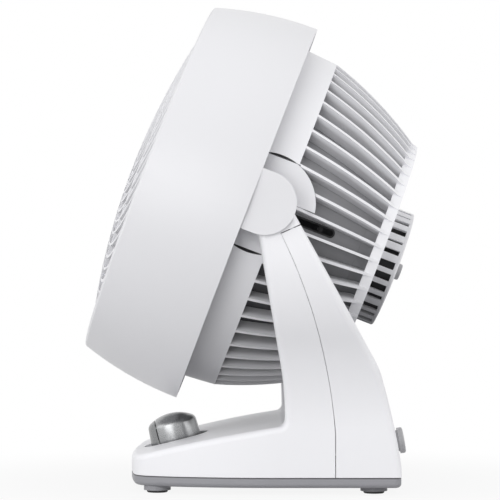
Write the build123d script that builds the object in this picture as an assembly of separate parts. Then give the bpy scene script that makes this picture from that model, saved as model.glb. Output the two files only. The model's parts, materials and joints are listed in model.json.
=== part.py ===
"""A table-top air circulator: a ducted fan head that tilts between the two arms of a moulded stand.

Millimetres, +Z up. The origin is on the floor, under the tilt axis and in the middle of the stand's
footprint. The front, where the air comes out, is towards -Y. +X is the side of the cable slot.
"""

import math
import os

from build123d import *

# ------------------------------------------------------------------ clearances
SEAT_GAP = 0.3          # between pieces that rest on or sit in each other
RUNNING_FIT = 0.05      # radial, between a shaft and its hole
PRESS_GAP = 0.05        # radial, between a bush and its seat
SCREW_FIT = 0.2         # radial, a screw in a clearance hole
THREAD_FIT = 0.05       # radial, a screw in its boss

# ------------------------------------------------------------------ where the head stands
PIVOT_HEIGHT = 201.8    # tilt axis above the floor
HEAD_TILT = 21.0        # degrees above level, as the fan is set here
AXIS_DROP = 9.3         # fan axis below the tilt axis
RIM_AHEAD = 9.5         # rear edge of the outer ring ahead of the tilt axis

# ------------------------------------------------------------------ outer ring
RING_REAR_R = 143.4
RING_FRONT_R = 131.5
RING_LENGTH = 75.3
RING_WALL = 2.2
RING_LIP_R = 124.0      # opening of the front lip
RING_LIP_T = 2.6
RING_EDGE_R = 2.4       # rounding of the front edge
EAR_R = 21.7            # round tab that covers each pivot
EAR_OUT_X = 140.0
EAR_T = 2.6
EAR_ROOT = 14.0         # how far the tab reaches into the ring
BOSS_R = 3.3            # screw bosses behind the lip
RING_SCREWS = 6

# ------------------------------------------------------------------ air duct
DUCT_R = 113.0          # outside
DUCT_WALL = 2.0
DUCT_FRONT_Z = 65.4     # front face of its flange
DUCT_FLANGE_R = 130.0
DUCT_FLANGE_T = 2.4
DUCT_REAR_Z = -82.0
SHOULDER_Z = 24.3       # rear face of the shoulder that carries the rear grille
SHOULDER_T = 2.4
SHOULDER_R = 126.8
SHOULDER_SCREWS = 6
SHOULDER_SCREW_R = 121.0
BOSS_L = 7.0
DUCT_FIN_GAP = 0.4
PIVOT_DISC_R = 35.0     # flat disc that faces each arm
PIVOT_DISC_X = 119.0
PIVOT_DISC_DEPTH = 12.0
DISC_CUT_Y = 15.3       # behind the collar the disc stays above this
SLOT_LENGTH = 38.0      # cable slot in the duct
SLOT_HEIGHT = 6.6
SLOT_Z = -43.5          # its middle, along the fan axis
SLOT_MARGIN = 2.5       # above the fin below it
SLOT_CORNER_R = 3.0
GROMMET_W = 1.1
GROMMET_PROUD = 0.6
HEAD_LEAD_END_X = 106.0

# ------------------------------------------------------------------ rear grille
COLLAR_R = 124.5        # at its rear edge
COLLAR_BULGE_R = 126.3
COLLAR_FRONT_R = 127.0
COLLAR_WALL = 2.2
COLLAR_REAR_Z = -22.4
COLLAR_BULGE_Z = 0.8
COLLAR_FRONT_Z = 24.0
COLLAR_FLANGE_R = 116.0
NOTCH_HALF = 33.4       # half height of the gap in the collar at each pivot
NOTCH_FRONT_Z = 14.0
EYE_ROOM = 2.5          # between the lower fins and the arm's eye
FIN_COUNT = 54
FIN_T = 1.9
FIN_DEPTH = 11.0
FIN_MID = (109.8, -60.5)
FIN_END = (90.8, -94.1)
FIN_ROOT = 6.0          # how far the fins reach into the collar
BAND_R = 89.6
BAND_WALL = 2.4
BAND_LENGTH = 7.4
REAR_FACE_Z = -98.4
SPOKE_DEPTH = 5.0       # ribs across the rear face
SPOKE_T = 1.8
MID_HOOP_R = 67.0
HUB_PLATE_R = 47.0
HUB_PLATE_T = 3.0

# ------------------------------------------------------------------ front grille
GRILLE_R = 123.6
GRILLE_RIM_W = 7.0
GRILLE_RISE = 14.0      # how far its middle stands ahead of the ring's front
GRILLE_T = 5.0          # depth of the ribs
GRILLE_RIBS = 48
GRILLE_RIB_T = 1.9
GRILLE_SWEEP = 52.0     # degrees that a rib turns from the middle to the rim
GRILLE_MID_SHARE = 0.4  # share of that turn at the rib's middle
GRILLE_DISC_R = 30.0
GRILLE_HOOPS = (60.0, 89.0)
GRILLE_SCREWS = 3

# ------------------------------------------------------------------ fan
BLADES = 3
BLADE_R = 101.5
BLADE_T = 2.2
BLADE_ROOT_CHORD = 50.0
BLADE_TIP_CHORD = 104.0
BLADE_ROOT_PITCH = 46.0
BLADE_TIP_PITCH = 24.0
BLADE_Z = 26.0          # middle of the blades
BLADE_CAMBER = 0.12     # share of half the chord
BLADE_SECTIONS = 5
FAN_HUB_R = 29.0
FAN_HUB_FRONT_Z = 50.0
FAN_HUB_REAR_Z = 4.0
FAN_HUB_WALL = 2.2
FAN_BOSS_R = 9.0
FAN_NUT_R = 9.0
FAN_NUT_L = 9.0
SHAFT_FRONT_Z = 56.0

# ------------------------------------------------------------------ motor
MOTOR_R = 41.0
MOTOR_WALL = 2.0
MOTOR_FRONT_Z = -14.0
MOTOR_SPLIT_Z = -52.0
STATOR_STACK = 26.0
ROTOR_R = 20.0
SHAFT_R = 4.0
BEARING_R = 8.0
BEARING_L = 9.0
MOTOR_SCREWS = 4
COVER_R = 43.0          # slotted cover over the back of the motor
COVER_WALL = 2.2
COVER_REAR_Z = -116.2
COVER_SLOTS = 32
COVER_SLOT_W = 4.2
COVER_CAP_R = 6.0
COVER_CAP_Z = -120.0
COVER_EDGE_Z = -113.7
COVER_SLOT_FRONT_Z = -101.5
COVER_SLOT_REAR_Z = -111.5
HOUSING_HUB_R = 10.5
MOTOR_SCREW_R = 30.0    # radius of the circle of motor screws
ROTOR_STACK = 28.0
COIL_R = (23.5, 35.0)   # inner and outer radius of the end windings
COIL_L = 9.0
COIL_BARS = 8
COIL_BAR_R = 2.6
LAMINATION_Z = -52.0    # middle of the stator
AIR_GAP = 0.5           # between rotor and stator

# ------------------------------------------------------------------ stand
PLATE_TOP = 12.0        # joint between the stand's shell and its base plate
NOSE_Y = -95.5
NOSE_TOP = 24.0
NOSE_BOW = 5.5          # how far the front bows out in plan
NOSE_CORNER_R = 22.0
DECK_MID = (-40.0, 38.2)
SADDLE_Z = 48.0         # flat between the arms
STAND_HALF_W = 95.0
NOSE_HALF_W = 75.0      # at the front corners
TAPER_START_Y = 6.0
ARM_FRONT_Y = 14.2
RAMP_R = 5.0            # corner between deck and arm
RAMP_RISE = 8.0         # the arm's front is upright up to this far above the saddle
ARM_KNEE = (10.6, 94.3)
ARM_FRONT_TOP = (-4.0, 178.1)
ARM_REAR_KNEE = (79.6, 88.2)   # before its corner is rounded
ARM_REAR_MID = (88.4, 55.3)
STAND_REAR_Y = 95.2
STAND_HEEL_Z = 20.0     # below this the back is upright
BACK_BEND_R = 60.0      # rounding of the arm's rear knee
ARM_EYE_R = 14.2
ARM_OUT_X = 136.2
ARM_T = 9.8
ARM_TOP_CURVE_Z = 172.0  # where the arms become upright
ARM_ROOT_R = 15.0       # inside corner between arm and saddle
STAND_EDGE_R = 4.5
STAND_WALL = 2.4
PARTING_GAP = 0.5
PARTING_TOP = (10.9, 181.3)
PARTING_KNEE = (41.5, 94.7)
PARTING_FOOT = (49.4, 42.0)
PARTING_EXIT = (24.0, 187.0)
EYE_SOLID = 18.0        # the arms are solid from this far below the tilt axis

# ------------------------------------------------------------------ base plate and feet
PLATE_BOTTOM = 5.0
PLATE_FLOOR_T = 2.4
PLATE_EDGE_R = 3.0
PLATE_REAR_CORNER_R = 6.0
FOOT_BOSS_R = 9.45
FOOT_BOSS_Z = 1.7
FOOT_PAD_R = 7.35
FOOT_PAD_SINK = 1.2     # how deep the pad sits in its boss
FOOT_PAD_CHAMFER = 0.6
FOOT_FRONT = (68.0, -75.0)
FOOT_REAR = (75.0, 76.8)

# ------------------------------------------------------------------ speed knob
KNOB_Y = -64.0
KNOB_LEAN = 14.0        # degrees that it leans forward
KNOB_BASE_R = 18.75
KNOB_TOP_R = 17.4
KNOB_HEIGHT = 19.0      # above the deck
KNOB_SHOULDER = 13.6
KNOB_SHOULDER_R = 3.4
KNOB_FLOAT = 0.6        # under the knob's skirt
KNOB_HUB_R = 6.0
KNOB_LEDGE = 5.0        # height of the ledge under the insert
KNOB_WALL = 2.0
KNOB_GROOVE_Y = -11.6   # from the knob's axis
KNOB_GROOVE_W = 0.7
RECESS_R = 23.8
RECESS_DEPTH = 3.0
RECESS_FLOOR_T = 2.2
SPINDLE_R = 3.0
SWITCH_NECK_R = 4.5
SWITCH_SIZE = 23.0
SWITCH_DEPTH = 8.5
SWITCH_NECK_TOP = 1.0
SWITCH_NUT_R = 7.0
SWITCH_NUT_T = 2.4
SWITCH_LEAD_X = 9.0
SPINDLE_DEPTH = 6.0     # how deep the spindle reaches into the switch

# ------------------------------------------------------------------ pivots
PIN_R = 6.0
PIN_BORE_R = 3.2
PIN_HEAD_R = 9.0
PIN_HEAD_T = 2.0
BUSH_R = 8.6
WASHER_R = 13.0
INNER_WASHER_T = 1.1
OUTER_WASHER_T = 0.6

# ------------------------------------------------------------------ cord inlet
INLET_R = 9.0
INLET_Z = 30.0
INLET_PROUD = 4.0
INLET_NECK_R = 6.5
INLET_NECK_L = 7.5
INLET_BORE_R = 3.4
INLET_BORE_DEPTH = 5.0
INLET_NUT_R = 9.5
INLET_NUT_T = 3.0

# ------------------------------------------------------------------ screws and wiring
SCREW_R = 1.45
SCREW_HEAD_R = 2.9
SCREW_HEAD_T = 2.0
SHORT_SCREW_L = 8.0
PLATE_SCREW_L = 14.0
PLATE_SCREW_FRONT = (50.0, -68.0)
PLATE_SCREW_REAR = (52.0, 80.0)
PLATE_BOSS_R = 4.6
PLATE_SEAT_Z = 9.0      # where the heads of the plate screws sit
PLATE_SKIN = 0.8        # left under a blind screw hole
POST_R = 3.4
POST_INSET = 4.0
LEAD_R = 1.8
LEAD_BEND = 8.0
LEAD_RUN = 14.0
BOARD_SIZE = (56.0, 40.0, 1.6)
BOARD_CORNER_R = 3.0
BOARD_Y = 4.0
BOARD_POST_H = 6.0
TERMINAL_SIZE = (26.0, 9.0, 9.0)
TERMINAL_INSET = 1.5
TERMINAL_WAYS = 4
CAPACITOR_R = 8.0
CAPACITOR_L = 26.0
CAPACITOR_X = -7.5
CLAMP_SIZE = (22.0, 8.0, 6.0)
CLAMP_Y = 52.0

# worked out from the above
EAR_IN_X = EAR_OUT_X - EAR_T
EYE_IN_X = PIVOT_DISC_X + SEAT_GAP + INNER_WASHER_T + SEAT_GAP
PLATE_FLOOR_Z = PLATE_BOTTOM + PLATE_FLOOR_T
HUB_FACE_Z = REAR_FACE_Z + HUB_PLATE_T
FAR = 400.0             # longer than anything here, for cutting


# ================================================================== places
def head_place():
    """The fan axis: +Z runs forward along the air stream, +Y is the head's own up."""
    tilt = math.radians(HEAD_TILT)
    pivot = Plane(origin=(0, 0, PIVOT_HEIGHT), x_dir=(1, 0, 0), z_dir=(0, -math.cos(tilt), math.sin(tilt)))
    return pivot.location * Location((0, -AXIS_DROP, RIM_AHEAD))


def deck_height(y):
    """Height of the sloping deck at y, on the arc through its three points."""
    (y1, z1), (y2, z2), (y3, z3) = (NOSE_Y, NOSE_TOP), DECK_MID, (ARM_FRONT_Y, SADDLE_Z)
    a = z1 * (y - y2) * (y - y3) / ((y1 - y2) * (y1 - y3))
    b = z2 * (y - y1) * (y - y3) / ((y2 - y1) * (y2 - y3))
    c = z3 * (y - y1) * (y - y2) / ((y3 - y1) * (y3 - y2))
    return a + b + c


def knob_place():
    """The knob's axis: +Z points up out of the deck, the origin is on the deck."""
    lean = math.radians(KNOB_LEAN)
    upwards = (0, -math.sin(lean), math.cos(lean))
    return Plane(origin=(0, KNOB_Y, deck_height(KNOB_Y)), x_dir=(1, 0, 0), z_dir=upwards).location


# ================================================================== small helpers
def face_of(*lines):
    """A flat face inside lines that meet end to end."""
    return make_face(Curve() + list(lines))


def turned(*lines):
    """A solid turned about Z from an outline of (radius, height)."""
    return revolve(Plane.XZ * face_of(*lines), Axis.Z)


def tube(outer_r, inner_r, z0, z1):
    """A plain tube along Z, from z0 up to z1."""
    middle = Pos(0, 0, (z0 + z1) / 2)
    body = middle * Cylinder(outer_r, z1 - z0)
    return body - middle * Cylinder(inner_r, z1 - z0 + 2) if inner_r else body


def along_x(radius, x0, x1, y=0.0, z=0.0):
    """A cylinder lying along X."""
    return Pos((x0 + x1) / 2, y, z) * Rot(0, 90, 0) * Cylinder(radius, abs(x1 - x0))


def block(x0, x1, y0, y1, z0, z1):
    """A box between two corners."""
    return Pos((x0 + x1) / 2, (y0 + y1) / 2, (z0 + z1) / 2) * Box(x1 - x0, y1 - y0, z1 - z0)


def round_array(count, shape, start=0.0):
    """Copies of a shape about Z."""
    return [Rot(0, 0, start + i * 360.0 / count) * shape for i in range(count)]


def both_sides(shape):
    """The shape and its mirror image across the middle plane."""
    return [shape, mirror(shape, about=Plane.YZ)]


def tangent_point(centre, radius, outside, side):
    """Where a line from a point outside a circle touches it; side is +1 or -1."""
    dx, dy = outside[0] - centre[0], outside[1] - centre[1]
    reach = math.hypot(dx, dy)
    turn = math.atan2(dy, dx) + side * math.acos(radius / reach)
    return (centre[0] + radius * math.cos(turn), centre[1] + radius * math.sin(turn))


# ================================================================== stand
def back_curve():
    """The back of the stand from the arm's knee down to the heel, as (y, z)."""
    return ThreePointArc(ARM_REAR_KNEE, ARM_REAR_MID, (STAND_REAR_Y, STAND_HEEL_Z))


def side_outline(bottom):
    """The stand from the side, as (y, z): deck, running on ahead of the nose, arm's front, eye and back."""
    eye = (0.0, PIVOT_HEIGHT)
    front_touch = tangent_point(eye, ARM_EYE_R, ARM_FRONT_TOP, -1)
    rear_touch = tangent_point(eye, ARM_EYE_R, ARM_REAR_KNEE, 1)
    ramp_foot = (ARM_FRONT_Y, SADDLE_Z)
    ramp_top = (ARM_FRONT_Y, SADDLE_Z + RAMP_RISE)
    ahead = NOSE_Y - NOSE_BOW
    face = face_of(
        Line((STAND_REAR_Y, bottom), (ahead, bottom)),
        Line((ahead, bottom), (ahead, deck_height(ahead))),
        ThreePointArc((ahead, deck_height(ahead)), DECK_MID, ramp_foot),
        Line(ramp_foot, ramp_top),
        TangentArc(ramp_top, ARM_KNEE, tangent=(0, 1)),
        Line(ARM_KNEE, ARM_FRONT_TOP),
        Line(ARM_FRONT_TOP, front_touch),
        ThreePointArc(front_touch, (0, PIVOT_HEIGHT + ARM_EYE_R), rear_touch),
        Line(rear_touch, ARM_REAR_KNEE),
        back_curve(),
        Line((STAND_REAR_Y, STAND_HEEL_Z), (STAND_REAR_Y, bottom)),
    )
    face = fillet(face.vertices().sort_by_distance((ARM_FRONT_Y, SADDLE_Z, 0))[0], RAMP_R)
    return fillet(face.vertices().sort_by_distance((*ARM_REAR_KNEE, 0))[0], BACK_BEND_R)


def arm_bend_r():
    """Radius of the two equal bends that carry an arm outwards."""
    spread = ARM_OUT_X - STAND_HALF_W
    return (spread**2 + (ARM_TOP_CURVE_Z - SADDLE_Z) ** 2) / (4 * spread)


def upper_bend(moved_in, turn):
    """A point of the arm's upper bend, as (x, z), moved in from the arm's outside."""
    radius = arm_bend_r() - moved_in
    return (ARM_OUT_X - arm_bend_r() + radius * math.cos(turn), ARM_TOP_CURVE_Z - radius * math.sin(turn))


def lower_bend(moved_in, turn):
    """A point of the arm's lower bend, as (x, z), moved in from the arm's outside."""
    radius = arm_bend_r() + moved_in
    return (STAND_HALF_W + arm_bend_r() - radius * math.cos(turn), SADDLE_Z + radius * math.sin(turn))


def half_turn():
    """How far each bend turns before the other takes over."""
    return math.asin((ARM_TOP_CURVE_Z - SADDLE_Z) / 2 / arm_bend_r())


def front_outline(bottom, inset=0.0):
    """The stand from the front, as (x, z): a body with two arms that sweep out and then stand upright."""

    def bends(moved_in, drop):
        foot_turn = -math.asin(drop / (arm_bend_r() + moved_in))
        middle = (half_turn() + foot_turn) / 2
        upper = ThreePointArc(*[upper_bend(moved_in, turn) for turn in (0.0, half_turn() / 2, half_turn())])
        lower = ThreePointArc(*[lower_bend(moved_in, turn) for turn in (half_turn(), middle, foot_turn)])
        return upper, lower, upper_bend(moved_in, 0), lower_bend(moved_in, foot_turn)

    out_up, out_low, out_top, out_foot = bends(inset, 0.0)
    in_up, in_low, in_top, in_foot = bends(ARM_T - inset, inset)
    roof = PIVOT_HEIGHT + 2 * ARM_EYE_R
    saddle = SADDLE_Z - inset
    half = face_of(
        Line((0, bottom), (out_foot[0], bottom)),
        Line((out_foot[0], bottom), out_foot),
        out_low,
        out_up,
        Line(out_top, (out_top[0], roof)),
        Line((out_top[0], roof), (in_top[0], roof)),
        Line((in_top[0], roof), in_top),
        in_up,
        in_low,
        Line(in_foot, (0, saddle)),
        Line((0, saddle), (0, bottom)),
    )
    corner = half.vertices().sort_by_distance((in_foot[0], saddle, 0))[0]
    half = fillet(corner, ARM_ROOT_R)
    return half + mirror(half, about=Plane.YZ)


def nose_plan(rear_y):
    """The stand from above, as (x, y): bowed front, round corners, sides that widen towards the rear."""
    corner_y = NOSE_Y + NOSE_BOW
    side_mid_y = (corner_y + TAPER_START_Y) / 2
    run = TAPER_START_Y - corner_y
    shrink = STAND_HALF_W - NOSE_HALF_W
    side_r = (shrink**2 + run**2) / (2 * shrink)
    side_mid_x = STAND_HALF_W - side_r + math.sqrt(side_r**2 - (TAPER_START_Y - side_mid_y) ** 2)
    face = face_of(
        ThreePointArc((-NOSE_HALF_W, corner_y), (0, NOSE_Y), (NOSE_HALF_W, corner_y)),
        ThreePointArc((NOSE_HALF_W, corner_y), (side_mid_x, side_mid_y), (STAND_HALF_W, TAPER_START_Y)),
        Line((STAND_HALF_W, TAPER_START_Y), (STAND_HALF_W, rear_y)),
        Line((STAND_HALF_W, rear_y), (-STAND_HALF_W, rear_y)),
        Line((-STAND_HALF_W, rear_y), (-STAND_HALF_W, TAPER_START_Y)),
        ThreePointArc((-STAND_HALF_W, TAPER_START_Y), (-side_mid_x, side_mid_y), (-NOSE_HALF_W, corner_y)),
    )
    return fillet(face.vertices().sort_by(Axis.Y)[:2], NOSE_CORNER_R)


def stand_form(inset, bottom):
    """The stand's outside as one block, or the space inside its walls where inset is the wall."""
    side = offset(side_outline(bottom), -inset, kind=Kind.INTERSECTION) if inset else side_outline(bottom)
    front = front_outline(bottom, inset)
    plan = nose_plan(STAND_REAR_Y)
    plan = offset(plan, -inset, kind=Kind.INTERSECTION) if inset else plan
    body = extrude(Plane.YZ * side, FAR, both=True) & extrude(Plane.XZ * front, FAR, both=True)
    nose_zone = block(-FAR, FAR, -FAR, TAPER_START_Y, bottom - 1, SADDLE_Z + 2)
    return (body - (nose_zone - Pos(0, 0, bottom - 1) * extrude(plan, FAR))).solid()


def is_outer_edge(edge):
    """True for the long edges of the stand's form, false for its bottom, its seams and its creases."""
    size = edge.bounding_box().size
    across = size.Y < 0.001 and size.Z < 0.001
    lengthwise = size.X < 0.001 and size.Z < 0.001
    return edge.bounding_box().min.Z > PLATE_TOP + 1 and not across and not lengthwise


def parting_zone(moved):
    """Everything behind the parting line of the stand, as one block across it."""
    foot = (PARTING_FOOT[0], -FAR)
    slope = (PARTING_EXIT[1] - PARTING_TOP[1]) / (PARTING_EXIT[0] - PARTING_TOP[0])
    far_out = (FAR, PARTING_TOP[1] + slope * (FAR - PARTING_TOP[0]))
    face = face_of(
        Line(foot, PARTING_FOOT),
        ThreePointArc(PARTING_FOOT, PARTING_KNEE, PARTING_TOP),
        Line(PARTING_TOP, far_out),
        Line(far_out, (FAR, -FAR)),
        Line((FAR, -FAR), foot),
    )
    return extrude(Plane.YZ * Pos(moved, -moved, 0) * face, FAR, both=True)


def inlet_place():
    """The cord inlet's axis: +Z points straight out of the back wall."""
    back = back_curve()
    high, low = 0.0, 1.0
    for _ in range(30):
        middle = (high + low) / 2
        high, low = (middle, low) if (back @ middle).Y > INLET_Z else (high, middle)
    point, along = back @ high, back % high
    return Plane(origin=(0, point.X, point.Y), x_dir=(1, 0, 0), z_dir=(0, -along.Y, along.X)).location


def plate_screw_places():
    """Where the four long screws come up from the base plate, as (x, y)."""
    return [(side * x, y) for x, y in (PLATE_SCREW_FRONT, PLATE_SCREW_REAR) for side in (-1, 1)]


def foot_places():
    """Where the four feet are, as (x, y)."""
    return [(side * x, y) for x, y in (FOOT_FRONT, FOOT_REAR) for side in (-1, 1)]


def board_post_places():
    """Where the circuit board is screwed down, as (x, y)."""
    across, along = BOARD_SIZE[0] / 2 - POST_INSET, BOARD_SIZE[1] / 2 - POST_INSET
    return [(x, BOARD_Y + y) for x in (-across, across) for y in (-along, along)]


def clamp_screw_places():
    """Where the lead clamp is screwed down, as (x, y)."""
    return [(side * (CLAMP_SIZE[0] / 2 - POST_INSET), CLAMP_Y) for side in (-1, 1)]


def stand_shell():
    """The hollow stand in one piece: walls, solid eyes, screw bosses, knob recess and holes."""
    form = stand_form(0, PLATE_TOP + SEAT_GAP)
    form = form.fillet(STAND_EDGE_R, [edge for edge in form.edges() if is_outer_edge(edge)])
    hollow = stand_form(STAND_WALL, -FAR / 4) & block(-FAR, FAR, -FAR, FAR, -FAR, PIVOT_HEIGHT - EYE_SOLID)
    shell = form - hollow.solids()
    boss_low = PLATE_TOP + SEAT_GAP
    bosses = [Pos(x, y, 0) * tube(PLATE_BOSS_R, 0, boss_low, FAR) for x, y in plate_screw_places()]
    recess_low = -RECESS_DEPTH - RECESS_FLOOR_T
    recess_wall = knob_place() * tube(RECESS_R + RECESS_FLOOR_T, 0, recess_low, KNOB_HEIGHT)
    shell += [(solid & form).solid() for solid in bosses + [recess_wall]]
    shell += [along_x(ARM_EYE_R, side * EYE_IN_X, side * ARM_OUT_X, 0, PIVOT_HEIGHT) for side in (-1, 1)]
    shell -= knob_place() * tube(RECESS_R, 0, -RECESS_DEPTH, 2 * KNOB_HEIGHT)
    shell -= knob_place() * tube(SWITCH_NECK_R + SEAT_GAP, 0, -KNOB_HEIGHT, KNOB_HEIGHT)
    shell -= along_x(BUSH_R + PRESS_GAP, -FAR, FAR, 0, PIVOT_HEIGHT)
    shell -= inlet_place() * tube(INLET_NECK_R + SEAT_GAP, 0, -INLET_NECK_L, INLET_PROUD)
    bore = tube(SCREW_R + THREAD_FIT, 0, 0, PLATE_SEAT_Z + PLATE_SCREW_L)
    return shell - [Pos(x, y, 0) * bore for x, y in plate_screw_places()]


def base_shell():
    """The front of the stand: deck, saddle and the front halves of the arms with their eyes."""
    return stand_shell() - parting_zone(-PARTING_GAP / 2)


def rear_cover():
    """The back of the stand, behind the parting line."""
    return stand_shell() & parting_zone(PARTING_GAP / 2)


def base_plate():
    """The tray under the stand: rounded rim, bosses for the feet, posts for the board and the screws."""
    plan = nose_plan(STAND_REAR_Y)
    plan = fillet(plan.vertices().group_by(Axis.Y)[-1], PLATE_REAR_CORNER_R)
    outer = Pos(0, 0, PLATE_BOTTOM) * extrude(plan, PLATE_TOP - PLATE_BOTTOM)
    outer = fillet(outer.edges().group_by(Axis.Z)[0], PLATE_EDGE_R)
    plate = outer - Pos(0, 0, PLATE_FLOOR_Z) * extrude(offset(plan, -STAND_WALL), PLATE_TOP)
    for x, y in foot_places():
        plate += Pos(x, y, 0) * tube(FOOT_BOSS_R, 0, FOOT_BOSS_Z, PLATE_FLOOR_Z)
        plate -= Pos(x, y, 0) * tube(FOOT_PAD_R + SEAT_GAP, 0, 0, FOOT_BOSS_Z + FOOT_PAD_SINK + SEAT_GAP)
    for x, y in plate_screw_places():
        plate += Pos(x, y, 0) * tube(PLATE_BOSS_R, 0, PLATE_BOTTOM + PLATE_FLOOR_T / 2, PLATE_TOP)
        plate -= Pos(x, y, 0) * tube(SCREW_HEAD_R + SCREW_FIT, 0, 0, PLATE_SEAT_Z)
        plate -= Pos(x, y, 0) * tube(SCREW_R + SCREW_FIT, 0, 0, FAR)
    for x, y in board_post_places():
        plate += Pos(x, y, PLATE_FLOOR_Z) * tube(POST_R, 0, -PLATE_FLOOR_T / 2, BOARD_POST_H)
    for x, y in board_post_places() + clamp_screw_places():
        plate -= Pos(x, y, PLATE_BOTTOM) * tube(SCREW_R + THREAD_FIT, 0, PLATE_SKIN, FAR)
    return plate


def foot_pads():
    """Four rubber pads sunk into the bosses of the base plate."""
    pad = tube(FOOT_PAD_R, 0, 0, FOOT_BOSS_Z + FOOT_PAD_SINK)
    pad = chamfer(pad.edges().sort_by(Axis.Z)[0], FOOT_PAD_CHAMFER)
    return [Pos(x, y, 0) * pad for x, y in foot_places()]


# ================================================================== screws, leads and the board
def screw(length):
    """A pan-head screw that points up, with its head's seat at the origin."""
    head = tube(SCREW_HEAD_R, 0, -SCREW_HEAD_T, 0)
    head = chamfer(head.edges().sort_by(Axis.Z)[0], SCREW_HEAD_T / 3)
    return head + tube(SCREW_R, 0, -SCREW_HEAD_T / 2, length)


def plate_screws():
    """The long screws from below, through the base plate into the stand."""
    return [Pos(x, y, PLATE_SEAT_Z - SEAT_GAP) * screw(PLATE_SCREW_L) for x, y in plate_screw_places()]


def board_top():
    """Height of the circuit board's upper face."""
    return PLATE_FLOOR_Z + BOARD_POST_H + SEAT_GAP + BOARD_SIZE[2]


def board_screws():
    """Short screws from above that hold the board on its posts."""
    down = Rot(180, 0, 0) * screw(SHORT_SCREW_L)
    return [Pos(x, y, board_top() + SEAT_GAP) * down for x, y in board_post_places()]


def clamp_screws():
    """The two screws of the lead clamp."""
    top = PLATE_FLOOR_Z + SEAT_GAP + CLAMP_SIZE[2] + SEAT_GAP
    down = Rot(180, 0, 0) * screw(top - PLATE_BOTTOM - PLATE_SKIN - SEAT_GAP)
    return [Pos(x, y, top) * down for x, y in clamp_screw_places()]


def power_board():
    """The board that carries the terminals and the motor's capacitor."""
    length, width, thickness = BOARD_SIZE
    board = Pos(0, BOARD_Y, board_top() - thickness / 2) * Box(length, width, thickness)
    board = fillet(board.edges().filter_by(Axis.Z), BOARD_CORNER_R)
    return board - [Pos(x, y, 0) * tube(SCREW_R + SCREW_FIT, 0, 0, FAR) for x, y in board_post_places()]


def terminal_rear():
    """Back face of the terminal block."""
    return BOARD_Y + BOARD_SIZE[1] / 2 - TERMINAL_INSET


def terminal_height():
    """Height at which leads enter the terminal block."""
    return board_top() + SEAT_GAP + TERMINAL_SIZE[2] / 2


def terminal_block():
    """A row of lead terminals at the back edge of the board."""
    length, width, height = TERMINAL_SIZE
    low = board_top() + SEAT_GAP
    body = block(-length / 2, length / 2, terminal_rear() - width, terminal_rear(), low, low + height)
    body = chamfer(body.edges().filter_by(Axis.X).group_by(Axis.Z)[-1], height / 5)
    step = length / TERMINAL_WAYS
    xs = [(i - (TERMINAL_WAYS - 1) / 2) * step for i in range(TERMINAL_WAYS)]
    well = tube(SCREW_HEAD_R, 0, low + height * 2 / 3, FAR)
    return body - [Pos(x, terminal_rear() - width / 2, 0) * well for x in xs]


def capacitor():
    """The motor's run capacitor, lying on the front half of the board."""
    can = along_x(CAPACITOR_R, CAPACITOR_X - CAPACITOR_L / 2, CAPACITOR_X + CAPACITOR_L / 2)
    can = fillet(can.edges().filter_by(GeomType.CIRCLE), CAPACITOR_R / 5)
    return Pos(0, BOARD_Y - CAPACITOR_R, board_top() + SEAT_GAP + CAPACITOR_R) * can


def lead(points, bends):
    """A round lead along straight runs joined by bends, one radius for each corner."""
    path = FilletPolyline(*points, radius=bends)
    return sweep(Plane(origin=path @ 0, z_dir=path % 0) * Circle(LEAD_R), path)


def base_lead():
    """From the cord inlet down to the floor, under the clamp and up to the terminals."""
    start = (inlet_place() * Pos(0, 0, -INLET_NECK_L - SEAT_GAP)).position
    low = PLATE_FLOOR_Z + SEAT_GAP + LEAD_R
    end = terminal_rear() + SEAT_GAP
    points = [
        (0, start.Y, start.Z),
        (0, start.Y - LEAD_RUN / 2, start.Z),
        (0, CLAMP_Y + LEAD_RUN / 2, low),
        (0, CLAMP_Y - LEAD_RUN / 2, low),
        (0, end + LEAD_RUN / 2, terminal_height()),
        (0, end, terminal_height()),
    ]
    return lead(points, [LEAD_BEND, LEAD_BEND, LEAD_BEND, LEAD_BEND])


def lead_clamp():
    """A bridge that holds the lead down on the base plate."""
    length, width, height = CLAMP_SIZE
    floor = PLATE_FLOOR_Z + SEAT_GAP
    body = block(-length / 2, length / 2, CLAMP_Y - width / 2, CLAMP_Y + width / 2, floor, floor + height)
    body = fillet(body.edges().filter_by(Axis.Y).group_by(Axis.Z)[-1], height / 4)
    groove_r = LEAD_R + SEAT_GAP / 2
    body -= Pos(0, 0, floor + LEAD_R) * Rot(90, 0, 0) * tube(groove_r, 0, -FAR, FAR)
    body -= block(-groove_r, groove_r, -FAR, FAR, 0, floor + LEAD_R)
    return body - [Pos(x, y, 0) * tube(SCREW_R + SCREW_FIT, 0, 0, FAR) for x, y in clamp_screw_places()]


def switch_lead():
    """From the back of the speed switch past the capacitor to the terminals."""
    middle = switch_top() - SWITCH_DEPTH / 2
    start = (knob_place() * Pos(SWITCH_LEAD_X, SWITCH_SIZE / 2 + SEAT_GAP, middle)).position
    ahead = (knob_place() * Pos(SWITCH_LEAD_X, SWITCH_SIZE / 2 + LEAD_RUN / 2, middle)).position
    end = terminal_rear() - TERMINAL_SIZE[1] - SEAT_GAP
    points = [
        (start.X, start.Y, start.Z),
        (ahead.X, ahead.Y, ahead.Z),
        (SWITCH_LEAD_X, end - LEAD_RUN / 2, terminal_height()),
        (SWITCH_LEAD_X, end, terminal_height()),
    ]
    return lead(points, [LEAD_BEND / 2, LEAD_BEND])


def arm_middle_y(z):
    """Middle of the arm's front shell at a height, between its front edge and the parting line."""
    low_y, high_y = (ARM_KNEE[0] + PARTING_KNEE[0]) / 2, (ARM_FRONT_TOP[0] + PARTING_TOP[0]) / 2
    low_z, high_z = (ARM_KNEE[1] + PARTING_KNEE[1]) / 2, (ARM_FRONT_TOP[1] + PARTING_TOP[1]) / 2
    return low_y + (z - low_z) * (high_y - low_y) / (high_z - low_z)


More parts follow.
